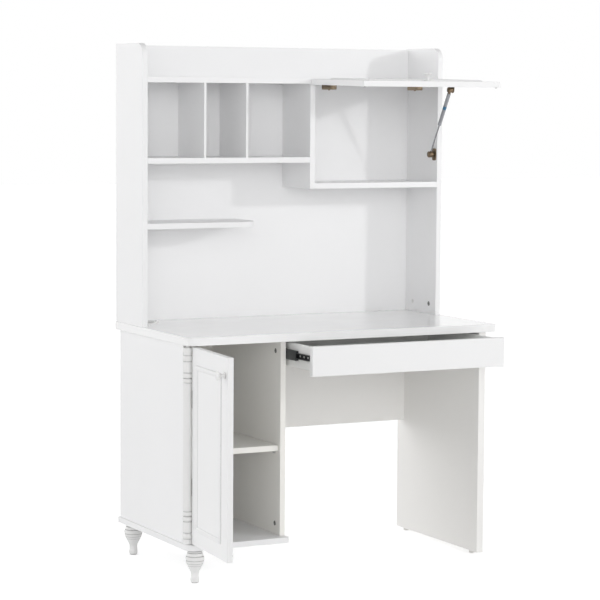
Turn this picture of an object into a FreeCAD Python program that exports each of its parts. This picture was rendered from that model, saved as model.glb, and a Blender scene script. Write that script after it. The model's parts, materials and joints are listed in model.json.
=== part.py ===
import FreeCAD, Part
import math
import os

from FreeCAD import Rotation, Vector

# A student's desk with a hutch: a lacquered desktop on a cabinet with turned feet and a
# turned corner column, a drawer on ball-bearing slides, and a hutch whose lift-up flap is
# held by a gas strut. Sizes are millimetres and angles are degrees.
#
# Working frame: X runs right from the desktop's left end, Y runs back from its front edge,
# Z runs up from the floor. Door, drawer and flap are modelled closed and then carried to
# the stored pose. Last, everything moves so that the origin is at the bottom centre of the
# stored desk's overall box.

X_AXIS = Vector(1, 0, 0)
Y_AXIS = Vector(0, 1, 0)
Z_AXIS = Vector(0, 0, 1)

# --- Stored pose ---------------------------------------------------------------------------
DOOR_OPEN_ANGLE = 95.0
DRAWER_PULLED_OUT = 154.0
FLAP_OPEN_ANGLE = 89.0

# --- Shared boards and clearances -----------------------------------------------------------
BOARD = 18.0                     # thickness of the ordinary boards
SEAT_GAP = 0.3                   # between a curved or moving face and its seat
SAME_PLACE = 1e-6                # below this, two places or lengths are the same
PIN_CLEARANCE = 0.05             # radial, of a turning or sliding pin in its bore
FRONT_GAP = 2.5                  # round the drawer front
EDGE_SOFTENING = 1.5             # rounding of the lacquered edges of the fronts

# --- Overall height and desktop -------------------------------------------------------------
OVERALL_HEIGHT = 1645.0
DESK_LENGTH = 1092.0
DESK_DEPTH = 568.0
DESK_HEIGHT = 754.0
TOP_THICKNESS = 25.0
TOP_LEFT_RADIUS = 35.0           # front left corner, in plan
TOP_RIGHT_RADIUS = 8.0           # front right corner, in plan
TOP_SOFTENING = 2.0

# --- Cable grommet in the back left corner of the desktop -----------------------------------
GROMMET_FROM_LEFT = 80.0
GROMMET_FROM_BACK = 80.0
GROMMET_HOLE_RADIUS = 27.0
GROMMET_LINER_WALL = 2.2
GROMMET_LINER_DEPTH = 18.0
GROMMET_RIM_RADIUS = 30.0
GROMMET_RIM_HEIGHT = 2.5
GROMMET_CAP_HEIGHT = 1.8
GROMMET_SKIRT_DEPTH = 8.0
GROMMET_SLOT_WIDTH = 24.0
GROMMET_SLOT_DEPTH = 14.0

# --- Base board and turned feet -------------------------------------------------------------
FOOT_HEIGHT = 101.5
BASE_THICKNESS = 18.0
BASE_INSET = 2.0
BASE_BEHIND_CABINET = 5.0        # the base board sticks out behind the cabinet sides
BASE_LEFT_RADIUS = 35.0
BASE_RIGHT_RADIUS = 6.0
FOOT_FROM_LEFT = 36.0
FRONT_FOOT_FROM_FRONT = 27.0
BACK_FOOT_FROM_BACK = 45.0       # from the base board's back edge
FOOT_STUD_RADIUS = 5.0
FOOT_STUD_LENGTH = 12.0

# A turned profile is a start radius and steps upwards: (height, radius at its end, bulge).
# A step with no height is a shoulder, and the bulge of an arc is outward where positive.
FOOT_TOE_RADIUS = 10.5
FOOT_TURNING = [
    (2.5, 13.0, 0.6),            # rounded toe
    (13.5, 13.6, 0.7),
    (4.0, 12.6, -0.2),           # ankle
    (10.0, 12.9, -0.3),
    (9.0, 15.8, -0.7),
    (30.0, 28.4, 0.8),           # vase
    (0.0, 26.9, 0.0),
    (2.0, 26.9, 0.0),            # lower groove
    (0.0, 28.9, 0.0),
    (11.0, 28.2, 1.2),           # bulb
    (0.0, 25.0, 0.0),
    (2.2, 25.0, 0.0),            # upper groove
    (0.0, 26.3, 0.0),
    (8.3, 23.8, 1.0),            # bead
    (0.0, 21.0, 0.0),
    (2.2, 21.0, 0.0),            # groove under the ring
    (0.0, 23.0, 0.0),
    (3.8, 22.0, 0.5),            # ring
    (0.0, 20.5, 0.0),
]

# --- Cabinet --------------------------------------------------------------------------------
CABINET_INSET = 7.5              # outer face of the left side from the desktop's end
CABINET_INNER_WIDTH = 302.5
DESKTOP_BACK_OVERHANG = 23.0     # behind the side and the divider
CABINET_BACK_THICKNESS = 15.0
CABINET_SHELF_HEIGHT = 402.0     # upper face
CABINET_SHELF_FRONT = 46.0
SHELF_END_GAP = 1.0
DIVIDER_FRONT = 32.0

# --- Turned corner column -------------------------------------------------------------------
COLUMN_FROM_LEFT = 15.5
COLUMN_FROM_FRONT = 38.0
COLUMN_BLOCK_RADIUS = 14.5
COLUMN_SHAFT_RADIUS = 13.0
COLUMN_BEAD_RADIUS = 15.5
COLUMN_BOTTOM_BLOCK = 5.0
COLUMN_TOP_BLOCK = 11.0
COLUMN_TENON_RADIUS = 6.0
COLUMN_TENON_LENGTH = 8.0        # between the top block and the desktop
COLUMN_GROOVE_RADIUS = 11.6
COLUMN_NECK_RADIUS = 13.6
COLUMN_BEAD_START = 13.2
COLUMN_TURNING = [
    (10.0, 12.8, -0.8),          # cove beside the block
    (0.0, COLUMN_GROOVE_RADIUS, 0.0),
    (2.5, COLUMN_GROOVE_RADIUS, 0.0),
    (0.0, COLUMN_BEAD_START, 0.0),
    (16.5, COLUMN_BEAD_START, COLUMN_BEAD_RADIUS - COLUMN_BEAD_START),
    (0.0, COLUMN_GROOVE_RADIUS, 0.0),
    (2.5, COLUMN_GROOVE_RADIUS, 0.0),
    (0.0, COLUMN_NECK_RADIUS, 0.0),
    (32.0, COLUMN_NECK_RADIUS, 0.0),
    (0.0, COLUMN_GROOVE_RADIUS, 0.0),
    (2.5, COLUMN_GROOVE_RADIUS, 0.0),
    (0.0, COLUMN_BEAD_START, 0.0),
    (14.0, COLUMN_BEAD_START, 2.2),
    (0.0, 11.0, 0.0),
    (3.0, 11.0, 0.0),            # deep groove
    (0.0, COLUMN_BEAD_START, 0.0),
    (11.5, COLUMN_BEAD_START, 1.6),
    (0.0, COLUMN_GROOVE_RADIUS, 0.0),
    (4.0, COLUMN_SHAFT_RADIUS, -0.4),
]

# --- Right leg and modesty panel ------------------------------------------------------------
LEG_FROM_RIGHT = 33.0
LEG_THICKNESS = 24.0
LEG_AHEAD_OF_BACK = 8.0          # its back edge in front of the cabinet's
MODESTY_AHEAD_OF_BACK = 53.0
MODESTY_BOTTOM = 383.0
GLIDE_HEIGHT = 8.0
GLIDE_RADIUS = 10.0
GLIDE_STEM_RADIUS = 3.0
GLIDE_STEM_LENGTH = 10.0
GLIDE_FROM_LEG_END = 48.0

# --- Fittings sunk in the boards ------------------------------------------------------------
CAM_RADIUS = 7.4
CAM_DEPTH = 12.5
CAM_BORE_GAP = 0.1
CAM_FROM_BOARD_END = 34.0
FRONT_CAM_PLACE = 68.0           # behind the desktop's front edge
BACK_CAM_FROM_BACK = 65.0        # from the back edges of the sides
HUTCH_CAM_FROM_FRONT = 46.0
HUTCH_CAM_FROM_BACK = 62.0
SHELF_PIN_RADIUS = 2.5
SHELF_PIN_SINK = 8.0
SHELF_PIN_HEAD_RADIUS = 5.0
SHELF_PIN_HEAD_LENGTH = 7.0
BACK_PIN_FROM_BACK = 75.0        # from the back edges of the sides

# --- Door -----------------------------------------------------------------------------------
FRONT_SETBACK = 12.0             # door and drawer front, behind the desktop's front edge
DOOR_HINGE_EDGE = 32.5
DOOR_WIDTH = 307.0
DOOR_GAP_BELOW = 1.5
DOOR_GAP_ABOVE = 4.5
DOOR_KNOB_FROM_FREE_EDGE = 25.5
DOOR_KNOB_FROM_TOP = 53.5
DOOR_BUMPER_FROM_FREE_EDGE = 4.5
DOOR_BUMPER_FROM_END = 20.0
DOOR_BUMPER_RADIUS = 3.5

# Moulding frame on the door and on the flap
MOULDING_WIDTH = 20.0
MOULDING_HEIGHT = 5.0
MOULDING_OUTER_ROUNDING = 3.5
MOULDING_INNER_ROUNDING = 2.0
DOOR_MOULDING_SIDE = 38.0
DOOR_MOULDING_TOP = 53.0
DOOR_MOULDING_BOTTOM = 40.0

# Cranked door hinge: its pin stands clear of the door's hinge edge
HINGE_PIN_OFF_EDGE = 2.0
HINGE_PIN_BEHIND_FACE = 8.0
HINGE_PIN_RADIUS = 1.5
HINGE_KNUCKLE_RADIUS = 2.6
HINGE_METAL = 1.5
HINGE_HEIGHT = 54.0
HINGE_LEAF_DEPTH = 32.0          # of the leaf on the cabinet side
HINGE_LEAF_SETBACK = 3.0         # behind the cabinet side's front edge
DOOR_LEAF_MARGIN = 1.0           # from the door's inner face
DOOR_HINGE_HEIGHTS = [294.0, 564.0]    # hinge centres above the floor
HINGE_SCREW_RADIUS = 3.2
HINGE_SCREW_HEIGHT = 1.2
HINGE_SCREW_SPACING = 34.0

# --- Turned knob and its screw --------------------------------------------------------------
KNOB_BASE_RADIUS = 9.0
KNOB_TURNING = [
    (2.5, KNOB_BASE_RADIUS, 0.3),
    (4.0, 4.5, -1.2),
    (5.0, 4.5, 0.0),             # neck
    (10.0, 13.2, -1.6),          # flared bell
    (1.5, 14.5, 0.3),
    (1.5, 14.0, 0.3),            # rim
    (1.5, 6.0, 0.5),             # domed face
]
KNOB_SCREW_RADIUS = 2.0
KNOB_SCREW_IN_KNOB = 9.0
KNOB_SCREW_HEAD_RADIUS = 4.2
KNOB_SCREW_HEAD_HEIGHT = 2.2
SCREW_HOLE_GAP = 0.2

# --- Drawer ---------------------------------------------------------------------------------
DRAWER_FRONT_HEIGHT = 92.0
DRAWER_SIDE_HEIGHT = 73.0
DRAWER_SIDE_BELOW_TOP = 4.0      # top edge of the sides below that of the front
DRAWER_BEHIND_SPACE = 32.0       # from the drawer's back to the modesty panel
DRAWER_WALL = 12.0
DRAWER_BOTTOM_THICKNESS = 5.0
DRAWER_BOTTOM_RAISE = 7.0
DRAWER_GROOVE_DEPTH = 6.0
DRAWER_GROOVE_GAP = 0.1

# Three-member ball-bearing slides
SLIDE_WIDTH = 13.0               # space between the drawer side and its neighbour
SLIDE_SHORTER = 30.0             # than the drawer behind its front
SLIDE_SETBACK = 15.0             # behind the back of the drawer front
SLIDE_ABOVE_SIDE_BOTTOM = 38.0
SLIDE_HEIGHT = 34.0
SLIDE_METAL = 1.5
SLIDE_CABINET_DEPTH = 9.8
SLIDE_MIDDLE_TIP_GAP = 2.2       # middle member's edge to the drawer side
SLIDE_DRAWER_HEIGHT = 17.5
SLIDE_SCREW_RADIUS = 3.6
SLIDE_SCREW_HEIGHT = 1.4
SLIDE_SCREW_FIRST = 14.0
SLIDE_SCREW_SPACING = 26.0
SLIDE_SCREW_COUNT = 3

# --- Hutch ----------------------------------------------------------------------------------
HUTCH_INSET = 2.0                # of its sides from the ends of the desktop
HUTCH_DEPTH = 215.0
HUTCH_CORNER_RADIUS = 38.0
HUTCH_BACK_BELOW_TOP = 3.0
HUTCH_BACK_THICKNESS = 15.0
TOP_SHELF_BELOW_TOP = 104.0      # upper faces below the tops of the sides
PIGEONHOLE_SHELF_BELOW_TOP = 359.0
COMPARTMENT_FLOOR_BELOW_TOP = 444.0
CORNER_SHELF_LEVEL = 326.0       # its upper face above the desktop
PARTITION_PLACE = 573.0          # from the inner face of the left side
FIRST_DIVIDER_PLACE = 194.0
SECOND_DIVIDER_PLACE = 342.0
THIN_DIVIDER = 8.0
CORNER_SHELF_LENGTH = 398.0
CORNER_SHELF_SETBACK = 3.0
CORNER_SHELF_RADIUS = 70.0

# --- Lift-up flap ---------------------------------------------------------------------------
FLAP_GAP = 3.0                   # closed flap to the hutch's front edges
FLAP_TOP_BELOW_SHELF = 3.0       # closed top edge below the upper face of the top shelf
FLAP_PIVOT_DEPTH = 10.0          # from the inner face
FLAP_PIVOT_DROP = 7.8            # from the top edge
FLAP_KNOB_FROM_FREE_EDGE = 35.0
FLAP_MOULDING_SIDE = 42.0
FLAP_MOULDING_FREE_EDGE = 45.0
FLAP_MOULDING_HINGE_EDGE = 55.0
FLAP_BUMPER_RADIUS = 4.0
FLAP_BUMPER_FROM_FREE_EDGE = 12.0

# Flap hinges: a slotted cup in the flap and a cranked arm under the top shelf
FLAP_HINGE_FROM_SIDE = 86.5
CUP_FROM_EDGE = 21.0
CUP_RADIUS = 17.4
CUP_DEPTH = 14.0
CUP_BORE_GAP = 0.1
CUP_FLANGE_WIDTH = 52.0
CUP_FLANGE_LENGTH = 22.0
CUP_FLANGE_THICKNESS = 1.2
CUP_SLOT_LENGTH = 26.0           # from the flap's top edge
CUP_SLOT_GAP = 0.8
FLAP_PIN_RADIUS = 2.0
FLAP_PIN_LENGTH = 21.0
ARM_WIDTH = 13.0                 # of the knuckle and the neck
ARM_KNUCKLE_RADIUS = 4.5
ARM_NECK_WIDTH = 7.0
ARM_NECK_BACK = 14.0             # the neck's far end, from the pin
ARM_NECK_DROP = 15.5
ARM_FRONT_GAP = 1.5              # arm body behind the shelf's front edge
ARM_BODY_WIDTH = 20.0
ARM_BODY_LENGTH = 66.0
ARM_BODY_HEIGHT = 18.0
ARM_PLATE_WIDTH = 24.0
ARM_PLATE_THICKNESS = 2.0

# --- Gas strut ------------------------------------------------------------------------------
STRUT_FROM_SIDE = 14.0           # its plane from the inner face of the right side
STRUT_UPPER_ALONG_FLAP = 90.0    # from the flap's pin
STRUT_UPPER_OFF_FLAP = 12.0      # from the flap's inner face
STRUT_LOWER_BEHIND_FRONT = 21.0
STRUT_LOWER_ABOVE_FLOOR = 91.0   # above the floor of the flap compartment
STRUT_CYLINDER_RADIUS = 6.0
STRUT_CYLINDER_LENGTH = 122.0
STRUT_CYLINDER_END = 3.0
STRUT_BORE_RADIUS = 4.8
STRUT_GUIDE_LENGTH = 6.0
STRUT_ROD_RADIUS = 2.6
STRUT_PISTON_RADIUS = 4.7
STRUT_PISTON_LENGTH = 6.0
STRUT_PISTON_GAP = 0.5
STRUT_END_LENGTH = 12.5          # from a pivot to the seat of the cylinder or rod
STRUT_END_WIDTH = 16.0
STRUT_UPPER_END_RADIUS = 9.0
STRUT_LOWER_END_RADIUS = 10.0
STRUT_NECK_RADIUS = 4.5
STRUT_STUD_RADIUS = 4.0
STRUT_STUD_DEPTH = 10.0
STRUT_STEM_RADIUS = 5.0
BRACKET_METAL = 2.0
UPPER_BRACKET_LENGTH = 20.0
UPPER_BRACKET_WIDTH = 22.0
LOWER_BRACKET_HEIGHT = 40.0
LOWER_BRACKET_WIDTH = 24.0
LOWER_BRACKET_AHEAD = 3.0        # its middle in front of the pivot

# --- Places that follow from the sizes above ------------------------------------------------
TOP_UNDERSIDE = DESK_HEIGHT - TOP_THICKNESS
BASE_TOP = FOOT_HEIGHT + BASE_THICKNESS
SIDE_INNER_X = CABINET_INSET + BOARD
DIVIDER_LEFT_X = SIDE_INNER_X + CABINET_INNER_WIDTH
DIVIDER_RIGHT_X = DIVIDER_LEFT_X + BOARD
SIDE_FRONT_Y = COLUMN_FROM_FRONT + COLUMN_BEAD_RADIUS + SEAT_GAP
CABINET_DEPTH = DESK_DEPTH - DESKTOP_BACK_OVERHANG
BASE_DEPTH = CABINET_DEPTH + BASE_BEHIND_CABINET
BACK_FOOT_FROM_FRONT = BASE_DEPTH - BACK_FOOT_FROM_BACK
LEG_BACK = CABINET_DEPTH - LEG_AHEAD_OF_BACK
MODESTY_FRONT = CABINET_DEPTH - MODESTY_AHEAD_OF_BACK
CABINET_BACK_Y = CABINET_DEPTH - CABINET_BACK_THICKNESS
BACK_CAM_PLACE = CABINET_DEPTH - BACK_CAM_FROM_BACK
BACK_PIN_PLACE = CABINET_DEPTH - BACK_PIN_FROM_BACK
LEG_RIGHT_X = DESK_LENGTH - LEG_FROM_RIGHT
LEG_LEFT_X = LEG_RIGHT_X - LEG_THICKNESS
GROMMET_X = GROMMET_FROM_LEFT
GROMMET_Y = DESK_DEPTH - GROMMET_FROM_BACK

DOOR_FREE_EDGE = DOOR_HINGE_EDGE + DOOR_WIDTH
DOOR_BOTTOM = BASE_TOP + DOOR_GAP_BELOW
DOOR_TOP = TOP_UNDERSIDE - DOOR_GAP_ABOVE
FRONT_BACK_Y = FRONT_SETBACK + BOARD
DOOR_PIN_X = DOOR_HINGE_EDGE - HINGE_PIN_OFF_EDGE
DOOR_PIN_Y = FRONT_SETBACK + HINGE_PIN_BEHIND_FACE

DRAWER_TOP = TOP_UNDERSIDE - FRONT_GAP
DRAWER_BOTTOM_EDGE = DRAWER_TOP - DRAWER_FRONT_HEIGHT
DRAWER_LEFT_X = DIVIDER_RIGHT_X + SLIDE_WIDTH
DRAWER_RIGHT_X = LEG_LEFT_X - SLIDE_WIDTH
DRAWER_MIDDLE_X = (DRAWER_LEFT_X + DRAWER_RIGHT_X) / 2
DRAWER_SIDE_TOP = DRAWER_TOP - DRAWER_SIDE_BELOW_TOP
DRAWER_SIDE_BOTTOM = DRAWER_SIDE_TOP - DRAWER_SIDE_HEIGHT
DRAWER_BACK_Y = MODESTY_FRONT - DRAWER_BEHIND_SPACE
SLIDE_Z = DRAWER_SIDE_BOTTOM + SLIDE_ABOVE_SIDE_BOTTOM
SLIDE_Y = FRONT_BACK_Y + SLIDE_SETBACK
SLIDE_LENGTH = DRAWER_BACK_Y - FRONT_BACK_Y - SLIDE_SHORTER

HUTCH_BACK_HEIGHT = OVERALL_HEIGHT - HUTCH_BACK_BELOW_TOP - DESK_HEIGHT
HUTCH_FRONT_Y = DESK_DEPTH - HUTCH_DEPTH
HUTCH_BACK_Y = DESK_DEPTH - HUTCH_BACK_THICKNESS
HUTCH_LEFT_X = HUTCH_INSET + BOARD
HUTCH_RIGHT_X = DESK_LENGTH - HUTCH_INSET - BOARD
PARTITION_LEFT_X = HUTCH_LEFT_X + PARTITION_PLACE
PARTITION_RIGHT_X = PARTITION_LEFT_X + BOARD
TOP_SHELF_TOP = OVERALL_HEIGHT - TOP_SHELF_BELOW_TOP
TOP_SHELF_UNDERSIDE = TOP_SHELF_TOP - BOARD
PIGEONHOLE_SHELF_TOP = OVERALL_HEIGHT - PIGEONHOLE_SHELF_BELOW_TOP
COMPARTMENT_FLOOR_TOP = OVERALL_HEIGHT - COMPARTMENT_FLOOR_BELOW_TOP
COMPARTMENT_FLOOR_UNDERSIDE = COMPARTMENT_FLOOR_TOP - BOARD
CORNER_SHELF_TOP = DESK_HEIGHT + CORNER_SHELF_LEVEL

FLAP_LEFT_X = PARTITION_LEFT_X
FLAP_RIGHT_X = DESK_LENGTH - HUTCH_INSET
FLAP_INNER_Y = HUTCH_FRONT_Y - FLAP_GAP
FLAP_OUTER_Y = FLAP_INNER_Y - BOARD
FLAP_TOP = TOP_SHELF_TOP - FLAP_TOP_BELOW_SHELF
FLAP_BOTTOM = COMPARTMENT_FLOOR_UNDERSIDE
FLAP_PIN_Y = FLAP_INNER_Y - FLAP_PIVOT_DEPTH
FLAP_PIN_Z = FLAP_TOP - FLAP_PIVOT_DROP
FLAP_HINGE_PLACES = [FLAP_LEFT_X + FLAP_HINGE_FROM_SIDE, FLAP_RIGHT_X - FLAP_HINGE_FROM_SIDE]
STRUT_X = HUTCH_RIGHT_X - STRUT_FROM_SIDE
STRUT_LOWER_Y = HUTCH_FRONT_Y + STRUT_LOWER_BEHIND_FRONT
STRUT_LOWER_Z = COMPARTMENT_FLOOR_TOP + STRUT_LOWER_ABOVE_FLOOR


# --- Shape helpers --------------------------------------------------------------------------
def block(x_span, y_span, z_span):
    """Box between two values along each axis, in either order."""
    low = Vector(min(x_span), min(y_span), min(z_span))
    high = Vector(max(x_span), max(y_span), max(z_span))
    size = high - low
    return Part.makeBox(size.x, size.y, size.z, low)


def rod(radius, start, travel):
    """Cylinder from a point along a vector."""
    return Part.makeCylinder(radius, travel.Length, start, travel)


def prism(points, travel):
    """Straight extrusion of a closed polygon."""
    return Part.Face(Part.makePolygon(points + points[:1])).extrude(travel)


def turned(start_radius, steps):
    """Turned solid about Z, upwards from the origin."""
    here = Vector(start_radius, 0, 0)
    edges = [Part.LineSegment(Vector(), here).toShape()]
    for height, radius, bulge in steps:
        there = Vector(radius, 0, here.z + height)
        if bulge:
            middle = (here + there) * 0.5 + Vector(bulge, 0, 0)
            edges.append(Part.Arc(here, middle, there).toShape())
        else:
            edges.append(Part.LineSegment(here, there).toShape())
        here = there
    axis_top = Vector(0, 0, here.z)
    edges.append(Part.LineSegment(here, axis_top).toShape())
    edges.append(Part.LineSegment(axis_top, Vector()).toShape())
    return Part.Face(Part.Wire(edges)).revolve(Vector(), Z_AXIS, 360)


def reversed_turning(start_radius, steps):
    """The same turning read from its far end: a start radius and steps."""
    radii = [start_radius] + [radius for _, radius, _ in steps]
    flipped = [(step[0], radii[i], step[2]) for i, step in enumerate(steps)]
    return radii[-1], flipped[::-1]


def turning_height(steps):
    return sum(height for height, _, _ in steps)


def upright_edge(shape, x, y):
    """The vertical edge of a board nearest to a corner of its plan."""
    def distance(edge):
        centre = edge.CenterOfMass
        return math.hypot(centre.x - x, centre.y - y)
    uprights = [edge for edge in shape.Edges if abs(edge.BoundBox.ZLength - edge.Length) < SAME_PLACE]
    return min(uprights, key=distance)


def softened(shape, direction, radius):
    """Rounds the outline of the face that lies furthest along a direction."""
    face = max(shape.Faces, key=lambda item: item.CenterOfMass.dot(direction))
    return shape.makeFillet(radius, face.Edges)


def moved(shape, travel):
    copy = shape.copy()
    copy.translate(travel)
    return copy


def turned_about(shape, centre, axis, angle):
    copy = shape.copy()
    copy.rotate(centre, axis, angle)
    return copy


def mirrored_across(shape, x):
    """Mirror image across the upright plane at x."""
    return shape.mirror(Vector(x, 0, 0), X_AXIS)


def group(solids):
    """Separate solids that share one sub-part."""
    return Part.makeCompound(solids)


def mirrored_pair(shape):
    """A left-hand shape of the drawer's fittings and its right-hand twin."""
    return group([shape, mirrored_across(shape, DRAWER_MIDDLE_X)])


# --- Cam locks and shelf pins ---------------------------------------------------------------
def cam_lock(mouth, inward):
    """Cam disc, flush with a board's face at its mouth."""
    return rod(CAM_RADIUS, mouth, inward * CAM_DEPTH)


def cam_bore(mouth, inward):
    return rod(CAM_RADIUS + CAM_BORE_GAP, mouth, inward * (CAM_DEPTH + CAM_BORE_GAP))


def cabinet_side_cams():
    heights = [BASE_TOP + CAM_FROM_BOARD_END, TOP_UNDERSIDE - CAM_FROM_BOARD_END]
    return [Vector(SIDE_INNER_X, y, z) for y in (FRONT_CAM_PLACE, BACK_CAM_PLACE) for z in heights]


def divider_cams():
    travel = Vector(CABINET_INNER_WIDTH, 0, 0)
    return [mouth + travel for mouth in cabinet_side_cams()]


def leg_cams():
    height = TOP_UNDERSIDE - CAM_FROM_BOARD_END
    return [Vector(LEG_LEFT_X, y, height) for y in (FRONT_CAM_PLACE, BACK_CAM_PLACE)]


def hutch_side_cams(x):
    places = [HUTCH_FRONT_Y + HUTCH_CAM_FROM_FRONT, DESK_DEPTH - HUTCH_CAM_FROM_BACK]
    return [Vector(x, y, DESK_HEIGHT + CAM_FROM_BOARD_END) for y in places]


def shelf_pin_mouths(x):
    height = CABINET_SHELF_HEIGHT - BOARD - SHELF_PIN_HEAD_RADIUS
    return [Vector(x, y, height) for y in (FRONT_CAM_PLACE, BACK_PIN_PLACE)]


def shelf_pin(mouth, inward):
    shank = rod(SHELF_PIN_RADIUS, mouth, inward * SHELF_PIN_SINK)
    head = rod(SHELF_PIN_HEAD_RADIUS, mouth, inward * -SHELF_PIN_HEAD_LENGTH)
    return shank.fuse(head)


def shelf_pin_bore(mouth, inward):
    return rod(SHELF_PIN_RADIUS + PIN_CLEARANCE, mouth, inward * (SHELF_PIN_SINK + PIN_CLEARANCE))


def bored(shape, bore, mouths, inward):
    """Cuts the same bore at several mouths."""
    return shape.cut([bore(mouth, inward) for mouth in mouths])


# --- Desktop and grommet --------------------------------------------------------------------
def desktop():
    slab = block((0, DESK_LENGTH), (0, DESK_DEPTH), (TOP_UNDERSIDE, DESK_HEIGHT))
    slab = slab.makeFillet(TOP_LEFT_RADIUS, [upright_edge(slab, 0, 0)])
    slab = slab.makeFillet(TOP_RIGHT_RADIUS, [upright_edge(slab, DESK_LENGTH, 0)])
    slab = softened(slab, Z_AXIS, TOP_SOFTENING)
    slab = softened(slab, -Z_AXIS, TOP_SOFTENING)
    hole = rod(GROMMET_HOLE_RADIUS, Vector(GROMMET_X, GROMMET_Y, TOP_UNDERSIDE), Z_AXIS * TOP_THICKNESS)
    return slab.cut(hole)


def grommet_liner():
    """Tube through the desktop with a rim that lies on it."""
    centre = Vector(GROMMET_X, GROMMET_Y, DESK_HEIGHT)
    outer = GROMMET_HOLE_RADIUS - SEAT_GAP
    tube = rod(outer, centre, Z_AXIS * -GROMMET_LINER_DEPTH)
    rim = rod(GROMMET_RIM_RADIUS, centre, Z_AXIS * GROMMET_RIM_HEIGHT)
    bottom = centre - Z_AXIS * GROMMET_LINER_DEPTH
    height = GROMMET_LINER_DEPTH + GROMMET_RIM_HEIGHT
    inner = rod(outer - GROMMET_LINER_WALL, bottom, Z_AXIS * height)
    return tube.fuse(rim).cut(inner)


def grommet_cap():
    """Lid on the rim, with a skirt in the tube and a slot for cables at its front."""
    centre = Vector(GROMMET_X, GROMMET_Y, DESK_HEIGHT + GROMMET_RIM_HEIGHT)
    skirt_radius = GROMMET_HOLE_RADIUS - SEAT_GAP - GROMMET_LINER_WALL - PIN_CLEARANCE
    lid = rod(GROMMET_RIM_RADIUS, centre, Z_AXIS * GROMMET_CAP_HEIGHT)
    lid = softened(lid, Z_AXIS, GROMMET_CAP_HEIGHT / 3)
    skirt = rod(skirt_radius, centre, Z_AXIS * -GROMMET_SKIRT_DEPTH)
    hollow = rod(skirt_radius - GROMMET_LINER_WALL, centre, Z_AXIS * -GROMMET_SKIRT_DEPTH)
    slot_back = GROMMET_Y - skirt_radius + GROMMET_SLOT_DEPTH
    slot = block((GROMMET_X - GROMMET_SLOT_WIDTH / 2, GROMMET_X + GROMMET_SLOT_WIDTH / 2),
                 (GROMMET_Y - GROMMET_RIM_RADIUS, slot_back),
                 (centre.z - GROMMET_SKIRT_DEPTH, centre.z + GROMMET_CAP_HEIGHT))
    return lid.fuse(skirt.cut(hollow)).cut(slot)


# --- Base board, feet and column ------------------------------------------------------------
def foot_places():
    return [Vector(FOOT_FROM_LEFT, y, 0) for y in (FRONT_FOOT_FROM_FRONT, BACK_FOOT_FROM_FRONT)]


def base_board():
    slab = block((BASE_INSET, DIVIDER_RIGHT_X), (0, BASE_DEPTH), (FOOT_HEIGHT, BASE_TOP))
    slab = slab.makeFillet(BASE_LEFT_RADIUS, [upright_edge(slab, BASE_INSET, 0)])
    slab = slab.makeFillet(BASE_RIGHT_RADIUS, [upright_edge(slab, DIVIDER_RIGHT_X, 0)])
    radius = FOOT_STUD_RADIUS + PIN_CLEARANCE
    depth = FOOT_STUD_LENGTH + PIN_CLEARANCE
    holes = [rod(radius, place + Z_AXIS * FOOT_HEIGHT, Z_AXIS * depth) for place in foot_places()]
    return softened(slab, Z_AXIS, EDGE_SOFTENING).cut(holes)


def foot(place):
    """Turned foot with a collar under the base board and a stud in it."""
    collar = FOOT_HEIGHT - turning_height(FOOT_TURNING)
    collar_radius = FOOT_TURNING[-1][1]
    body = turned(FOOT_TOE_RADIUS, FOOT_TURNING + [(collar, collar_radius, 0.0)])
    stud = rod(FOOT_STUD_RADIUS, Z_AXIS * FOOT_HEIGHT, Z_AXIS * FOOT_STUD_LENGTH)
    return moved(body.fuse(stud), place)


def corner_column():
    """Turned column between base board and desktop, with the same turning at both ends."""
    height = TOP_UNDERSIDE - BASE_TOP
    blocks = COLUMN_BOTTOM_BLOCK + COLUMN_TOP_BLOCK + COLUMN_TENON_LENGTH
    shaft = height - blocks - 2 * turning_height(COLUMN_TURNING)
    _, top_turning = reversed_turning(COLUMN_BLOCK_RADIUS, COLUMN_TURNING)
    steps = [(COLUMN_BOTTOM_BLOCK, COLUMN_BLOCK_RADIUS, 0.0)] + COLUMN_TURNING
    steps = steps + [(shaft, COLUMN_SHAFT_RADIUS, 0.0)] + top_turning
    steps = steps + [(COLUMN_TOP_BLOCK, COLUMN_BLOCK_RADIUS, 0.0), (0.0, COLUMN_TENON_RADIUS, 0.0)]
    steps = steps + [(COLUMN_TENON_LENGTH, COLUMN_TENON_RADIUS, 0.0)]
    body = turned(COLUMN_BLOCK_RADIUS, steps)
    return moved(body, Vector(COLUMN_FROM_LEFT, COLUMN_FROM_FRONT, BASE_TOP))


# --- Cabinet boards -------------------------------------------------------------------------
def cabinet_left_side():
    side = block((CABINET_INSET, SIDE_INNER_X), (SIDE_FRONT_Y, CABINET_DEPTH), (BASE_TOP, TOP_UNDERSIDE))
    side = bored(side, cam_bore, cabinet_side_cams(), -X_AXIS)
    return bored(side, shelf_pin_bore, shelf_pin_mouths(SIDE_INNER_X), -X_AXIS)


def cabinet_divider():
    divider = block((DIVIDER_LEFT_X, DIVIDER_RIGHT_X), (DIVIDER_FRONT, CABINET_DEPTH),
                    (BASE_TOP, TOP_UNDERSIDE))
    divider = bored(divider, cam_bore, divider_cams(), X_AXIS)
    return bored(divider, shelf_pin_bore, shelf_pin_mouths(DIVIDER_LEFT_X), X_AXIS)


def cabinet_back_panel():
    return block((SIDE_INNER_X, DIVIDER_LEFT_X), (CABINET_BACK_Y, CABINET_DEPTH), (BASE_TOP, TOP_UNDERSIDE))


def cabinet_shelf():
    return block((SIDE_INNER_X + SHELF_END_GAP, DIVIDER_LEFT_X - SHELF_END_GAP),
                 (CABINET_SHELF_FRONT, CABINET_BACK_Y - SEAT_GAP),
                 (CABINET_SHELF_HEIGHT - BOARD, CABINET_SHELF_HEIGHT))


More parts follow.
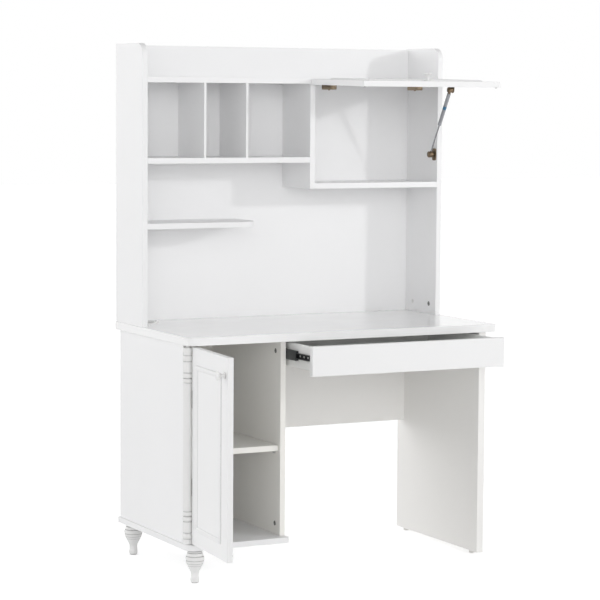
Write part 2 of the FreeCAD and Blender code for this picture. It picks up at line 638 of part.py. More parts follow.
def shelf_pins():
    left = [shelf_pin(mouth, -X_AXIS) for mouth in shelf_pin_mouths(SIDE_INNER_X)]
    right = [shelf_pin(mouth, X_AXIS) for mouth in shelf_pin_mouths(DIVIDER_LEFT_X)]
    return group(left + right)


def desk_cam_locks():
    left = [cam_lock(mouth, -X_AXIS) for mouth in cabinet_side_cams()]
    right = [cam_lock(mouth, X_AXIS) for mouth in divider_cams() + leg_cams()]
    return group(left + right)


# --- Right leg, glides and modesty panel ----------------------------------------------------
def glide_places():
    ends = (FRONT_SETBACK + GLIDE_FROM_LEG_END, LEG_BACK - GLIDE_FROM_LEG_END)
    return [Vector(LEG_LEFT_X + LEG_THICKNESS / 2, y, GLIDE_HEIGHT) for y in ends]


def right_leg_panel():
    leg = block((LEG_LEFT_X, LEG_RIGHT_X), (FRONT_SETBACK, LEG_BACK), (GLIDE_HEIGHT, TOP_UNDERSIDE))
    leg = bored(leg, cam_bore, leg_cams(), X_AXIS)
    radius = GLIDE_STEM_RADIUS + PIN_CLEARANCE
    depth = GLIDE_STEM_LENGTH + PIN_CLEARANCE
    return leg.cut([rod(radius, place, Z_AXIS * depth) for place in glide_places()])


def leg_glides():
    discs = []
    for place in glide_places():
        pad = rod(GLIDE_RADIUS, place - Z_AXIS * GLIDE_HEIGHT, Z_AXIS * GLIDE_HEIGHT)
        discs.append(pad.fuse(rod(GLIDE_STEM_RADIUS, place, Z_AXIS * GLIDE_STEM_LENGTH)))
    return group(discs)


def modesty_panel():
    return block((DIVIDER_RIGHT_X, LEG_LEFT_X), (MODESTY_FRONT, MODESTY_FRONT + BOARD),
                 (MODESTY_BOTTOM, TOP_UNDERSIDE))


# --- Fronts: moulding, knob and screw -------------------------------------------------------
def front_slab(x_span, z_span, outer_y):
    """Door, drawer front or flap: a board with a rounded outline on its outer face."""
    slab = block(x_span, (outer_y, outer_y + BOARD), z_span)
    return softened(slab, -Y_AXIS, EDGE_SOFTENING)


def moulding_frame(x_span, z_span, outer_y):
    """Mitred moulding, glued on the outer face of a front and rounded on both edges."""
    face_y = outer_y - MOULDING_HEIGHT
    frame = block(x_span, (face_y, outer_y), z_span)
    frame = softened(frame, -Y_AXIS, MOULDING_OUTER_ROUNDING)
    inner_x = (min(x_span) + MOULDING_WIDTH, max(x_span) - MOULDING_WIDTH)
    inner_z = (min(z_span) + MOULDING_WIDTH, max(z_span) - MOULDING_WIDTH)
    frame = frame.cut(block(inner_x, (face_y, outer_y), inner_z))
    rim = [edge for edge in frame.Edges if lies_on_rim(edge, inner_x, inner_z, face_y)]
    return frame.makeFillet(MOULDING_INNER_ROUNDING, rim)


def lies_on_rim(edge, inner_x, inner_z, face_y):
    """Tells whether an edge is on the inner outline of a frame's face."""
    box = edge.BoundBox
    inside = box.XMin > inner_x[0] - SEAT_GAP and box.XMax < inner_x[1] + SEAT_GAP
    inside = inside and box.ZMin > inner_z[0] - SEAT_GAP and box.ZMax < inner_z[1] + SEAT_GAP
    return inside and abs(box.YMin - face_y) < SAME_PLACE and abs(box.YMax - face_y) < SAME_PLACE


def knob_screw_hole(place):
    """Hole through a front, on the axis of its knob."""
    return rod(KNOB_SCREW_RADIUS + SCREW_HOLE_GAP, place, Y_AXIS * BOARD)


def knob(place):
    """Turned knob that stands out of a front's outer face, with a blind hole for its screw."""
    hole = rod(KNOB_SCREW_RADIUS + PIN_CLEARANCE, Vector(), Z_AXIS * (KNOB_SCREW_IN_KNOB + PIN_CLEARANCE))
    body = turned(KNOB_BASE_RADIUS, KNOB_TURNING).cut(hole)
    body = turned_about(body, Vector(), X_AXIS, 90)
    return moved(body, place)


def knob_screw(place):
    shank = rod(KNOB_SCREW_RADIUS, place - Y_AXIS * KNOB_SCREW_IN_KNOB, Y_AXIS * (KNOB_SCREW_IN_KNOB + BOARD))
    head = rod(KNOB_SCREW_HEAD_RADIUS, place + Y_AXIS * BOARD, Y_AXIS * KNOB_SCREW_HEAD_HEIGHT)
    return shank.fuse(head)


# --- Door and its cranked hinges ------------------------------------------------------------
def door_knob_place():
    return Vector(DOOR_FREE_EDGE - DOOR_KNOB_FROM_FREE_EDGE, FRONT_SETBACK, DOOR_TOP - DOOR_KNOB_FROM_TOP)


def knuckle_spans(middle_z):
    """Heights of a hinge's three knuckles, from the bottom."""
    third = HINGE_HEIGHT / 3
    low = middle_z - HINGE_HEIGHT / 2
    return [(low + i * third, low + (i + 1) * third) for i in range(3)]


def door_leaf_spans(middle_z):
    """The door leaf's extent: (x, y, z) spans of its plate, let into the hinge edge."""
    x_span = (DOOR_HINGE_EDGE, DOOR_HINGE_EDGE + HINGE_METAL)
    y_span = (DOOR_PIN_Y + HINGE_KNUCKLE_RADIUS + SEAT_GAP, FRONT_BACK_Y - DOOR_LEAF_MARGIN)
    z_span = (middle_z - HINGE_HEIGHT / 2, middle_z + HINGE_HEIGHT / 2)
    return x_span, y_span, z_span


def door_panel():
    panel = front_slab((DOOR_HINGE_EDGE, DOOR_FREE_EDGE), (DOOR_BOTTOM, DOOR_TOP), FRONT_SETBACK)
    cuts = [knob_screw_hole(door_knob_place())]
    for middle_z in DOOR_HINGE_HEIGHTS:
        x_span, y_span, z_span = door_leaf_spans(middle_z)
        cuts.append(block(x_span, (DOOR_PIN_Y, y_span[1]), z_span))
        start = Vector(DOOR_PIN_X, DOOR_PIN_Y, z_span[0])
        cuts.append(rod(HINGE_KNUCKLE_RADIUS + SEAT_GAP, start, Z_AXIS * HINGE_HEIGHT))
    return panel.cut(cuts)


def door_moulding():
    x_span = (DOOR_HINGE_EDGE + DOOR_MOULDING_SIDE, DOOR_FREE_EDGE - DOOR_MOULDING_SIDE)
    z_span = (DOOR_BOTTOM + DOOR_MOULDING_BOTTOM, DOOR_TOP - DOOR_MOULDING_TOP)
    return moulding_frame(x_span, z_span, FRONT_SETBACK)


def door_hinge_leaf(middle_z):
    """Leaf in the door's edge, with the middle knuckle."""
    x_span, y_span, z_span = door_leaf_spans(middle_z)
    plate = block(x_span, y_span, z_span)
    low, high = knuckle_spans(middle_z)[1]
    low = low + SEAT_GAP
    high = high - SEAT_GAP
    start = Vector(DOOR_PIN_X, DOOR_PIN_Y, low)
    knuckle = rod(HINGE_KNUCKLE_RADIUS, start, Z_AXIS * (high - low))
    bridge = block(x_span, (DOOR_PIN_Y, y_span[0]), (low, high))
    bore = rod(HINGE_PIN_RADIUS + PIN_CLEARANCE, start, Z_AXIS * (high - low))
    return plate.fuse([knuckle, bridge]).cut(bore)


def cabinet_hinge_leaf(middle_z):
    """Cranked leaf from the cabinet side past the column, with the outer knuckles and the pin."""
    low = middle_z - HINGE_HEIGHT / 2
    leaf_front = SIDE_FRONT_Y + HINGE_LEAF_SETBACK
    arm_left = DOOR_PIN_X - HINGE_METAL
    seat = SIDE_INNER_X
    outline = [
        Vector(DOOR_PIN_X, DOOR_PIN_Y, low),
        Vector(DOOR_PIN_X, leaf_front, low),
        Vector(seat + HINGE_METAL, leaf_front + HINGE_METAL, low),
        Vector(seat + HINGE_METAL, leaf_front + HINGE_LEAF_DEPTH, low),
        Vector(seat, leaf_front + HINGE_LEAF_DEPTH, low),
        Vector(seat, leaf_front, low),
        Vector(arm_left, leaf_front - HINGE_METAL, low),
        Vector(arm_left, DOOR_PIN_Y, low),
    ]
    leaf = prism(outline, Z_AXIS * HINGE_HEIGHT)
    spans = knuckle_spans(middle_z)
    window = block((DOOR_PIN_X - HINGE_LEAF_DEPTH, DOOR_PIN_X + HINGE_LEAF_DEPTH),
                   (DOOR_PIN_Y - HINGE_KNUCKLE_RADIUS, DOOR_PIN_Y + 2 * HINGE_KNUCKLE_RADIUS),
                   spans[1])
    start = Vector(DOOR_PIN_X, DOOR_PIN_Y, low)
    knuckles = []
    for span_low, span_high in (spans[0], spans[2]):
        foot_point = Vector(DOOR_PIN_X, DOOR_PIN_Y, span_low)
        knuckles.append(rod(HINGE_KNUCKLE_RADIUS, foot_point, Z_AXIS * (span_high - span_low)))
    pin = rod(HINGE_PIN_RADIUS, start, Z_AXIS * HINGE_HEIGHT)
    return leaf.cut(window).fuse(knuckles + [pin])


def hinge_screws():
    """Screw heads on the cabinet leaves."""
    y = SIDE_FRONT_Y + HINGE_LEAF_SETBACK + HINGE_LEAF_DEPTH * 0.6
    heads = []
    for middle_z in DOOR_HINGE_HEIGHTS:
        for side in (-0.5, 0.5):
            place = Vector(SIDE_INNER_X + HINGE_METAL, y, middle_z + side * HINGE_SCREW_SPACING)
            heads.append(rod(HINGE_SCREW_RADIUS, place, X_AXIS * HINGE_SCREW_HEIGHT))
    return group(heads)


def door_bumpers():
    """Soft discs that meet the divider's front edge when the door is closed."""
    x = DOOR_FREE_EDGE - DOOR_BUMPER_FROM_FREE_EDGE
    thickness = DIVIDER_FRONT - FRONT_BACK_Y - SEAT_GAP
    heights = (DOOR_BOTTOM + DOOR_BUMPER_FROM_END, DOOR_TOP - DOOR_BUMPER_FROM_END)
    return group([rod(DOOR_BUMPER_RADIUS, Vector(x, FRONT_BACK_Y, z), Y_AXIS * thickness) for z in heights])


# --- Drawer and its slides ------------------------------------------------------------------
def bottom_groove():
    """Space that the bottom panel's groove takes out of the drawer's four walls."""
    reach = DRAWER_WALL - DRAWER_GROOVE_DEPTH
    z = DRAWER_SIDE_BOTTOM + DRAWER_BOTTOM_RAISE
    return block((DRAWER_LEFT_X + reach, DRAWER_RIGHT_X - reach),
                 (FRONT_BACK_Y - DRAWER_GROOVE_DEPTH, DRAWER_BACK_Y - reach),
                 (z, z + DRAWER_BOTTOM_THICKNESS + DRAWER_GROOVE_GAP))


def drawer_front():
    x_span = (DIVIDER_RIGHT_X + FRONT_GAP, LEG_LEFT_X - FRONT_GAP)
    return front_slab(x_span, (DRAWER_BOTTOM_EDGE, DRAWER_TOP), FRONT_SETBACK).cut(bottom_groove())


def drawer_side(outer_x, inner_x):
    side = block((outer_x, inner_x), (FRONT_BACK_Y, DRAWER_BACK_Y), (DRAWER_SIDE_BOTTOM, DRAWER_SIDE_TOP))
    return side.cut(bottom_groove())


def drawer_back():
    back = block((DRAWER_LEFT_X + DRAWER_WALL, DRAWER_RIGHT_X - DRAWER_WALL),
                 (DRAWER_BACK_Y - DRAWER_WALL, DRAWER_BACK_Y), (DRAWER_SIDE_BOTTOM, DRAWER_SIDE_TOP))
    return back.cut(bottom_groove())


def drawer_bottom():
    reach = DRAWER_WALL - DRAWER_GROOVE_DEPTH + DRAWER_GROOVE_GAP
    z = DRAWER_SIDE_BOTTOM + DRAWER_BOTTOM_RAISE
    front_y = FRONT_BACK_Y - DRAWER_GROOVE_DEPTH + DRAWER_GROOVE_GAP
    return block((DRAWER_LEFT_X + reach, DRAWER_RIGHT_X - reach), (front_y, DRAWER_BACK_Y - reach),
                 (z, z + DRAWER_BOTTOM_THICKNESS))


def slide_channel(web_x, tip_x, height, flange):
    """Straight channel with its web at one x and the tips of its flanges at another."""
    y_span = (SLIDE_Y, SLIDE_Y + SLIDE_LENGTH)
    web_inner_x = web_x + math.copysign(SLIDE_METAL, tip_x - web_x)
    body = block((web_x, tip_x), y_span, (SLIDE_Z - height / 2, SLIDE_Z + height / 2))
    half_gap = height / 2 - flange
    return body.cut(block((web_inner_x, tip_x), y_span, (SLIDE_Z - half_gap, SLIDE_Z + half_gap)))


def slide_cabinet_member():
    """Outer channel, screwed to the divider or the leg. All members are built for the left."""
    return slide_channel(DIVIDER_RIGHT_X, DIVIDER_RIGHT_X + SLIDE_CABINET_DEPTH, SLIDE_HEIGHT, SLIDE_METAL)


def slide_middle_member():
    """Middle channel, whose flanges are the ball tracks on both sides."""
    height = SLIDE_HEIGHT - 2 * (SLIDE_METAL + SEAT_GAP)
    flange = (height - SLIDE_DRAWER_HEIGHT) / 2 - SEAT_GAP
    web_x = DIVIDER_RIGHT_X + SLIDE_METAL + SEAT_GAP
    return slide_channel(web_x, DRAWER_LEFT_X - SLIDE_MIDDLE_TIP_GAP, height, flange)


def slide_drawer_member():
    """Inner channel on the drawer side, open towards the middle member."""
    tip_x = DIVIDER_RIGHT_X + 2 * (SLIDE_METAL + SEAT_GAP)
    return slide_channel(DRAWER_LEFT_X, tip_x, SLIDE_DRAWER_HEIGHT, SLIDE_METAL)


def slide_screws():
    """Screw heads inside the drawer member."""
    heads = []
    for i in range(SLIDE_SCREW_COUNT):
        y = SLIDE_Y + SLIDE_SCREW_FIRST + i * SLIDE_SCREW_SPACING
        place = Vector(DRAWER_LEFT_X - SLIDE_METAL, y, SLIDE_Z)
        heads.append(rod(SLIDE_SCREW_RADIUS, place, X_AXIS * -SLIDE_SCREW_HEIGHT))
    return group(heads)


# --- Hutch boards ---------------------------------------------------------------------------
def hutch_side(outer_x, inner_x):
    """Side with a rounded top front corner and cam locks at its foot."""
    side = block((outer_x, inner_x), (HUTCH_FRONT_Y, DESK_DEPTH), (DESK_HEIGHT, OVERALL_HEIGHT))
    corner = [edge for edge in side.Edges if lies_on_corner(edge, HUTCH_FRONT_Y, OVERALL_HEIGHT)]
    side = side.makeFillet(HUTCH_CORNER_RADIUS, corner)
    inward = Vector(math.copysign(1, outer_x - inner_x), 0, 0)
    return bored(side, cam_bore, hutch_side_cams(inner_x), inward)


def lies_on_corner(edge, y, z):
    centre = edge.CenterOfMass
    return abs(centre.y - y) < SAME_PLACE and abs(centre.z - z) < SAME_PLACE


def hutch_cam_locks():
    left = [cam_lock(mouth, -X_AXIS) for mouth in hutch_side_cams(HUTCH_LEFT_X)]
    right = [cam_lock(mouth, X_AXIS) for mouth in hutch_side_cams(HUTCH_RIGHT_X)]
    return group(left + right)


def hutch_back_panel():
    return block((HUTCH_LEFT_X, HUTCH_RIGHT_X), (HUTCH_BACK_Y, DESK_DEPTH),
                 (DESK_HEIGHT, DESK_HEIGHT + HUTCH_BACK_HEIGHT))


def hutch_board(x_span, z_span):
    """Shelf, partition or floor between the hutch's front edges and its back panel."""
    return block(x_span, (HUTCH_FRONT_Y, HUTCH_BACK_Y), z_span)


def hutch_top_shelf():
    return hutch_board((HUTCH_LEFT_X, HUTCH_RIGHT_X), (TOP_SHELF_UNDERSIDE, TOP_SHELF_TOP))


def hutch_partition():
    return hutch_board((PARTITION_LEFT_X, PARTITION_RIGHT_X),
                       (COMPARTMENT_FLOOR_UNDERSIDE, TOP_SHELF_UNDERSIDE))


def pigeonhole_shelf():
    return hutch_board((HUTCH_LEFT_X, PARTITION_LEFT_X), (PIGEONHOLE_SHELF_TOP - BOARD, PIGEONHOLE_SHELF_TOP))


def pigeonhole_divider(place):
    left_x = HUTCH_LEFT_X + place
    return hutch_board((left_x, left_x + THIN_DIVIDER), (PIGEONHOLE_SHELF_TOP, TOP_SHELF_UNDERSIDE))


def flap_compartment_floor():
    return hutch_board((PARTITION_RIGHT_X, HUTCH_RIGHT_X), (COMPARTMENT_FLOOR_UNDERSIDE, COMPARTMENT_FLOOR_TOP))


def corner_shelf():
    """Short shelf in the left corner, with its free corner rounded."""
    right_x = HUTCH_LEFT_X + CORNER_SHELF_LENGTH
    front_y = HUTCH_FRONT_Y + CORNER_SHELF_SETBACK
    shelf = block((HUTCH_LEFT_X, right_x), (front_y, HUTCH_BACK_Y), (CORNER_SHELF_TOP - BOARD, CORNER_SHELF_TOP))
    return shelf.makeFillet(CORNER_SHELF_RADIUS, [upright_edge(shelf, right_x, front_y)])


# --- Flap and its hinges --------------------------------------------------------------------
def flap_knob_place():
    return Vector((FLAP_LEFT_X + FLAP_RIGHT_X) / 2, FLAP_OUTER_Y, FLAP_BOTTOM + FLAP_KNOB_FROM_FREE_EDGE)


def cup_slot(x, depth):
    """Slot that lets the arm swing, open to the flap's inner face and top edge."""
    half = ARM_WIDTH / 2 + CUP_SLOT_GAP
    return block((x - half, x + half), (FLAP_INNER_Y - depth, FLAP_INNER_Y + CUP_FLANGE_THICKNESS),
                 (FLAP_TOP - CUP_SLOT_LENGTH, FLAP_TOP))


def flap_panel():
    panel = front_slab((FLAP_LEFT_X, FLAP_RIGHT_X), (FLAP_BOTTOM, FLAP_TOP), FLAP_OUTER_Y)
    cuts = [knob_screw_hole(flap_knob_place())]
    knuckle_depth = FLAP_PIVOT_DEPTH + ARM_KNUCKLE_RADIUS + CUP_SLOT_GAP
    for x in FLAP_HINGE_PLACES:
        mouth = Vector(x, FLAP_INNER_Y, FLAP_TOP - CUP_FROM_EDGE)
        cuts.append(rod(CUP_RADIUS + CUP_BORE_GAP, mouth, Y_AXIS * -(CUP_DEPTH + CUP_BORE_GAP)))
        cuts.append(cup_slot(x, knuckle_depth))
    return panel.cut(cuts)


def flap_moulding():
    x_span = (FLAP_LEFT_X + FLAP_MOULDING_SIDE, FLAP_RIGHT_X - FLAP_MOULDING_SIDE)
    z_span = (FLAP_BOTTOM + FLAP_MOULDING_FREE_EDGE, FLAP_TOP - FLAP_MOULDING_HINGE_EDGE)
    return moulding_frame(x_span, z_span, FLAP_OUTER_Y)


def flap_hinge_cup(x):
    """Cup and flange in the flap, slotted for the arm, with the hinge pin across the slot."""
    mouth = Vector(x, FLAP_INNER_Y, FLAP_TOP - CUP_FROM_EDGE)
    cup = rod(CUP_RADIUS, mouth, Y_AXIS * -CUP_DEPTH)
    flange = block((x - CUP_FLANGE_WIDTH / 2, x + CUP_FLANGE_WIDTH / 2),
                   (FLAP_INNER_Y, FLAP_INNER_Y + CUP_FLANGE_THICKNESS),
                   (mouth.z - CUP_FLANGE_LENGTH / 2, mouth.z + CUP_FLANGE_LENGTH / 2))
    pin_start = Vector(x - FLAP_PIN_LENGTH / 2, FLAP_PIN_Y, FLAP_PIN_Z)
    pin = rod(FLAP_PIN_RADIUS, pin_start, X_AXIS * FLAP_PIN_LENGTH)
    return cup.fuse(flange).cut(cup_slot(x, CUP_DEPTH)).fuse(pin)


def flap_hinge_arm(x):
    """Arm under the top shelf, cranked round the shelf's edge to the pin in the flap."""
    left_x = x - ARM_WIDTH / 2
    across = X_AXIS * ARM_WIDTH
    pin_point = Vector(left_x, FLAP_PIN_Y, FLAP_PIN_Z)
    far_point = pin_point + Vector(0, ARM_NECK_BACK, -ARM_NECK_DROP)
    along = (far_point - pin_point).normalize()
    half = Vector(0, -along.z, along.y) * (ARM_NECK_WIDTH / 2)
    neck = prism([pin_point + half, far_point + half, far_point - half, pin_point - half], across)
    knuckle = rod(ARM_KNUCKLE_RADIUS, pin_point, across)
    front_y = HUTCH_FRONT_Y + ARM_FRONT_GAP
    y_span = (front_y, front_y + ARM_BODY_LENGTH)
    body = block((x - ARM_BODY_WIDTH / 2, x + ARM_BODY_WIDTH / 2), y_span,
                 (TOP_SHELF_UNDERSIDE - ARM_BODY_HEIGHT, TOP_SHELF_UNDERSIDE))
    plate = block((x - ARM_PLATE_WIDTH / 2, x + ARM_PLATE_WIDTH / 2), y_span,
                  (TOP_SHELF_UNDERSIDE - ARM_PLATE_THICKNESS, TOP_SHELF_UNDERSIDE))
    bore = rod(FLAP_PIN_RADIUS + PIN_CLEARANCE, pin_point, across)
    return body.fuse([plate, neck, knuckle]).cut(bore)


def flap_bumpers():
    """Soft discs that meet the partition and the right side when the flap is closed."""
    centres = ((PARTITION_LEFT_X + PARTITION_RIGHT_X) / 2, FLAP_RIGHT_X - BOARD / 2)
    z = FLAP_BOTTOM + FLAP_BUMPER_FROM_FREE_EDGE
    travel = Y_AXIS * (FLAP_GAP - SEAT_GAP)
    return group([rod(FLAP_BUMPER_RADIUS, Vector(x, FLAP_INNER_Y, z), travel) for x in centres])


# --- Gas strut ------------------------------------------------------------------------------
def flap_pin_centre():
    return Vector(STRUT_X, FLAP_PIN_Y, FLAP_PIN_Z)


def strut_upper_pivot_closed():
    """Upper pivot with the flap closed."""
    return Vector(STRUT_X, FLAP_INNER_Y + STRUT_UPPER_OFF_FLAP, FLAP_PIN_Z - STRUT_UPPER_ALONG_FLAP)


def strut_upper_pivot():
    """Upper pivot in the stored pose."""
    turn = Rotation(X_AXIS, -FLAP_OPEN_ANGLE)
    return flap_pin_centre() + turn.multVec(strut_upper_pivot_closed() - flap_pin_centre())


def strut_lower_pivot():
    return Vector(STRUT_X, STRUT_LOWER_Y, STRUT_LOWER_Z)


def placed_on_strut(shape):
    """Carries a shape from the Z axis to the strut's line, from its upper pivot downwards."""
    start = strut_upper_pivot()
    direction = strut_lower_pivot() - start
    angle = math.degrees(math.atan2(-direction.y, direction.z))
    return moved(turned_about(shape, Vector(), X_AXIS, angle), start)


def strut_length():
    return (strut_lower_pivot() - strut_upper_pivot()).Length


def strut_eye(radius):
    """Barrel across the strut's line, centred on a pivot."""
    return rod(radius, X_AXIS * (-STRUT_END_WIDTH / 2), X_AXIS * STRUT_END_WIDTH)


def strut_upper_end():
    """Socket on the cylinder, bored for the stud of the flap's bracket."""
    neck = rod(STRUT_NECK_RADIUS, Vector(), Z_AXIS * STRUT_END_LENGTH)
    depth = STRUT_STUD_DEPTH + PIN_CLEARANCE
    bore_start = X_AXIS * (STRUT_END_WIDTH / 2)
    bore = rod(STRUT_STUD_RADIUS + PIN_CLEARANCE, bore_start, X_AXIS * -depth)
    return placed_on_strut(strut_eye(STRUT_UPPER_END_RADIUS).fuse(neck).cut(bore))


def strut_cylinder():
    """Pressure tube with a bore for the piston and a narrow guide at its mouth."""
    seat = Z_AXIS * STRUT_END_LENGTH
    tube = rod(STRUT_CYLINDER_RADIUS, seat, Z_AXIS * STRUT_CYLINDER_LENGTH)
    bore_length = STRUT_CYLINDER_LENGTH - STRUT_CYLINDER_END - STRUT_GUIDE_LENGTH
    bore_start = seat + Z_AXIS * STRUT_CYLINDER_END
    bore = rod(STRUT_BORE_RADIUS, bore_start, Z_AXIS * bore_length)
    guide = rod(STRUT_ROD_RADIUS + PIN_CLEARANCE, bore_start, Z_AXIS * (bore_length + STRUT_GUIDE_LENGTH))
    return placed_on_strut(tube.cut([bore, guide]))


def strut_rod():
    """Rod with its piston just inside the guide, and its foot in the lower end."""
    mouth = STRUT_END_LENGTH + STRUT_CYLINDER_LENGTH
    piston_end = mouth - STRUT_GUIDE_LENGTH - STRUT_PISTON_GAP
    foot_end = strut_length() - STRUT_END_LENGTH
    piston = rod(STRUT_PISTON_RADIUS, Z_AXIS * piston_end, Z_AXIS * -STRUT_PISTON_LENGTH)
    bar = rod(STRUT_ROD_RADIUS, Z_AXIS * piston_end, Z_AXIS * (foot_end - piston_end))
    return placed_on_strut(piston.fuse(bar))


def strut_lower_end():
    """Barrel end on the rod, beside the stem of the bracket on the hutch's side."""
    pivot = Z_AXIS * strut_length()
    eye = moved(strut_eye(STRUT_LOWER_END_RADIUS), pivot)
    neck = rod(STRUT_NECK_RADIUS, pivot, Z_AXIS * -STRUT_END_LENGTH)
    return placed_on_strut(eye.fuse(neck))


def strut_upper_bracket():
    """Angle on the flap's inner face, with a stud into the strut's upper end."""
    pivot = strut_upper_pivot_closed()
    right_x = STRUT_X + STRUT_END_WIDTH / 2 + BRACKET_METAL + SEAT_GAP
    z_span = (pivot.z - UPPER_BRACKET_LENGTH / 2, pivot.z + UPPER_BRACKET_LENGTH / 2)
    plate = block((right_x - UPPER_BRACKET_WIDTH, right_x), (FLAP_INNER_Y, FLAP_INNER_Y + BRACKET_METAL), z_span)
    ear = block((right_x - BRACKET_METAL, right_x), (FLAP_INNER_Y, pivot.y), z_span)
    ear_end = rod(UPPER_BRACKET_LENGTH / 2, Vector(right_x, pivot.y, pivot.z), X_AXIS * -BRACKET_METAL)
    stud_length = BRACKET_METAL + SEAT_GAP + STRUT_STUD_DEPTH - PIN_CLEARANCE
    stud = rod(STRUT_STUD_RADIUS, Vector(right_x, pivot.y, pivot.z), X_AXIS * -stud_length)
    return plate.fuse([ear, ear_end, stud])


def strut_lower_bracket():
    """Plate on the hutch's right side, with a stem up to the strut's lower end."""
    pivot = strut_lower_pivot()
    middle_y = pivot.y - LOWER_BRACKET_AHEAD
    plate = block((HUTCH_RIGHT_X - BRACKET_METAL, HUTCH_RIGHT_X),
                  (middle_y - LOWER_BRACKET_WIDTH / 2, middle_y + LOWER_BRACKET_WIDTH / 2),
                  (pivot.z - LOWER_BRACKET_HEIGHT / 2, pivot.z + LOWER_BRACKET_HEIGHT / 2))
    stem_x = pivot.x + STRUT_END_WIDTH / 2 + SEAT_GAP
    stem = rod(STRUT_STEM_RADIUS, Vector(stem_x, pivot.y, pivot.z), X_AXIS * (HUTCH_RIGHT_X - stem_x))
    return plate.fuse(stem)


# --- Sub-assemblies, each as {node name: shape} ---------------------------------------------
def desk_nodes():
    front_foot_place, back_foot_place = foot_places()
    return {
        "desktop": desktop(),
        "cable_grommet_liner": grommet_liner(),
        "cable_grommet_cap": grommet_cap(),
        "base_board": base_board(),
        "front_left_foot": foot(front_foot_place),
        "back_left_foot": foot(back_foot_place),
        "corner_column": corner_column(),
        "cabinet_left_side": cabinet_left_side(),
        "cabinet_divider": cabinet_divider(),
        "cabinet_back_panel": cabinet_back_panel(),
        "cabinet_shelf": cabinet_shelf(),
        "shelf_pins": shelf_pins(),
        "desk_cam_locks": desk_cam_locks(),
        "right_leg_panel": right_leg_panel(),
        "leg_glides": leg_glides(),
        "modesty_panel": modesty_panel(),
        "door_hinge_cabinet_leaves": group([cabinet_hinge_leaf(z) for z in DOOR_HINGE_HEIGHTS]),
        "door_hinge_screws": hinge_screws(),
        "slide_cabinet_members": mirrored_pair(slide_cabinet_member()),
    }


def door_nodes():
    """The door as stored, turned about its hinge pins."""
    nodes = {
        "door_panel": door_panel(),
        "door_moulding": door_moulding(),
        "door_knob": knob(door_knob_place()),
        "door_knob_screw": knob_screw(door_knob_place()),
        "door_hinge_leaves": group([door_hinge_leaf(z) for z in DOOR_HINGE_HEIGHTS]),
        "door_bumpers": door_bumpers(),
    }
    pin = Vector(DOOR_PIN_X, DOOR_PIN_Y, 0)
    return {name: turned_about(shape, pin, Z_AXIS, -DOOR_OPEN_ANGLE) for name, shape in nodes.items()}


def drawer_nodes():
    """The drawer as stored, with the slides' middle members half as far out."""
    drawer = {
        "drawer_front": drawer_front(),
        "drawer_left_side": drawer_side(DRAWER_LEFT_X, DRAWER_LEFT_X + DRAWER_WALL),
        "drawer_right_side": drawer_side(DRAWER_RIGHT_X, DRAWER_RIGHT_X - DRAWER_WALL),
        "drawer_back": drawer_back(),
        "drawer_bottom": drawer_bottom(),
        "slide_drawer_members": mirrored_pair(slide_drawer_member()),
        "slide_screws": mirrored_pair(slide_screws()),
    }
    middle = {
        "left_slide_middle_member": slide_middle_member(),
        "right_slide_middle_member": mirrored_across(slide_middle_member(), DRAWER_MIDDLE_X),
    }
    out = Y_AXIS * -DRAWER_PULLED_OUT
    nodes = {name: moved(shape, out) for name, shape in drawer.items()}
    nodes.update({name: moved(shape, out * 0.5) for name, shape in middle.items()})
    return nodes


def hutch_nodes():
    left_outer = HUTCH_INSET
    right_outer = DESK_LENGTH - HUTCH_INSET
    return {
        "hutch_left_side": hutch_side(left_outer, HUTCH_LEFT_X),
        "hutch_right_side": hutch_side(right_outer, HUTCH_RIGHT_X),
        "hutch_back_panel": hutch_back_panel(),
        "hutch_top_shelf": hutch_top_shelf(),
        "hutch_partition": hutch_partition(),
        "hutch_cam_locks": hutch_cam_locks(),
        "pigeonhole_shelf": pigeonhole_shelf(),
        "pigeonhole_divider_left": pigeonhole_divider(FIRST_DIVIDER_PLACE),
        "pigeonhole_divider_right": pigeonhole_divider(SECOND_DIVIDER_PLACE),
        "flap_compartment_floor": flap_compartment_floor(),
        "corner_shelf": corner_shelf(),
        "flap_hinge_arms": group([flap_hinge_arm(x) for x in FLAP_HINGE_PLACES]),
        "strut_lower_bracket": strut_lower_bracket(),
    }


def flap_nodes():
    """The flap as stored, swung up about its hinge pins."""
    nodes = {
        "flap_panel": flap_panel(),
        "flap_moulding": flap_moulding(),
        "flap_knob": knob(flap_knob_place()),
        "flap_knob_screw": knob_screw(flap_knob_place()),
        "flap_hinge_cups": group([flap_hinge_cup(x) for x in FLAP_HINGE_PLACES]),
        "flap_bumpers": flap_bumpers(),
        "strut_upper_bracket": strut_upper_bracket(),
    }
    pin = flap_pin_centre()
    return {name: turned_about(shape, pin, X_AXIS, -FLAP_OPEN_ANGLE) for name, shape in nodes.items()}


def strut_nodes():
    return {
        "strut_upper_end": strut_upper_end(),
        "strut_cylinder": strut_cylinder(),
        "strut_rod": strut_rod(),
        "strut_lower_end": strut_lower_end(),
    }


def origin_shift(nodes):
    """Travel that brings the bottom centre of the overall box to the origin."""
    boxes = [shape.optimalBoundingBox() for shape in nodes.values()]
    middle_x = (min(box.XMin for box in boxes) + max(box.XMax for box in boxes)) / 2
    middle_y = (min(box.YMin for box in boxes) + max(box.YMax for box in boxes)) / 2
    return Vector(-middle_x, -middle_y, -min(box.ZMin for box in boxes))


def desk_with_hutch():
    """All sub-parts, with the origin at the bottom centre of the overall box."""
    nodes = {}
    for sub_assembly in (desk_nodes, door_nodes, drawer_nodes, hutch_nodes, flap_nodes, strut_nodes):
        nodes.update(sub_assembly())
    shift = origin_shift(nodes)
    return {name: moved(shape, shift) for name, shape in nodes.items()}


def main():
    os.makedirs("parts", exist_ok=True)
    for name, shape in desk_with_hutch().items():
        shape.exportStep(os.path.join("parts", name + ".step"))


main()
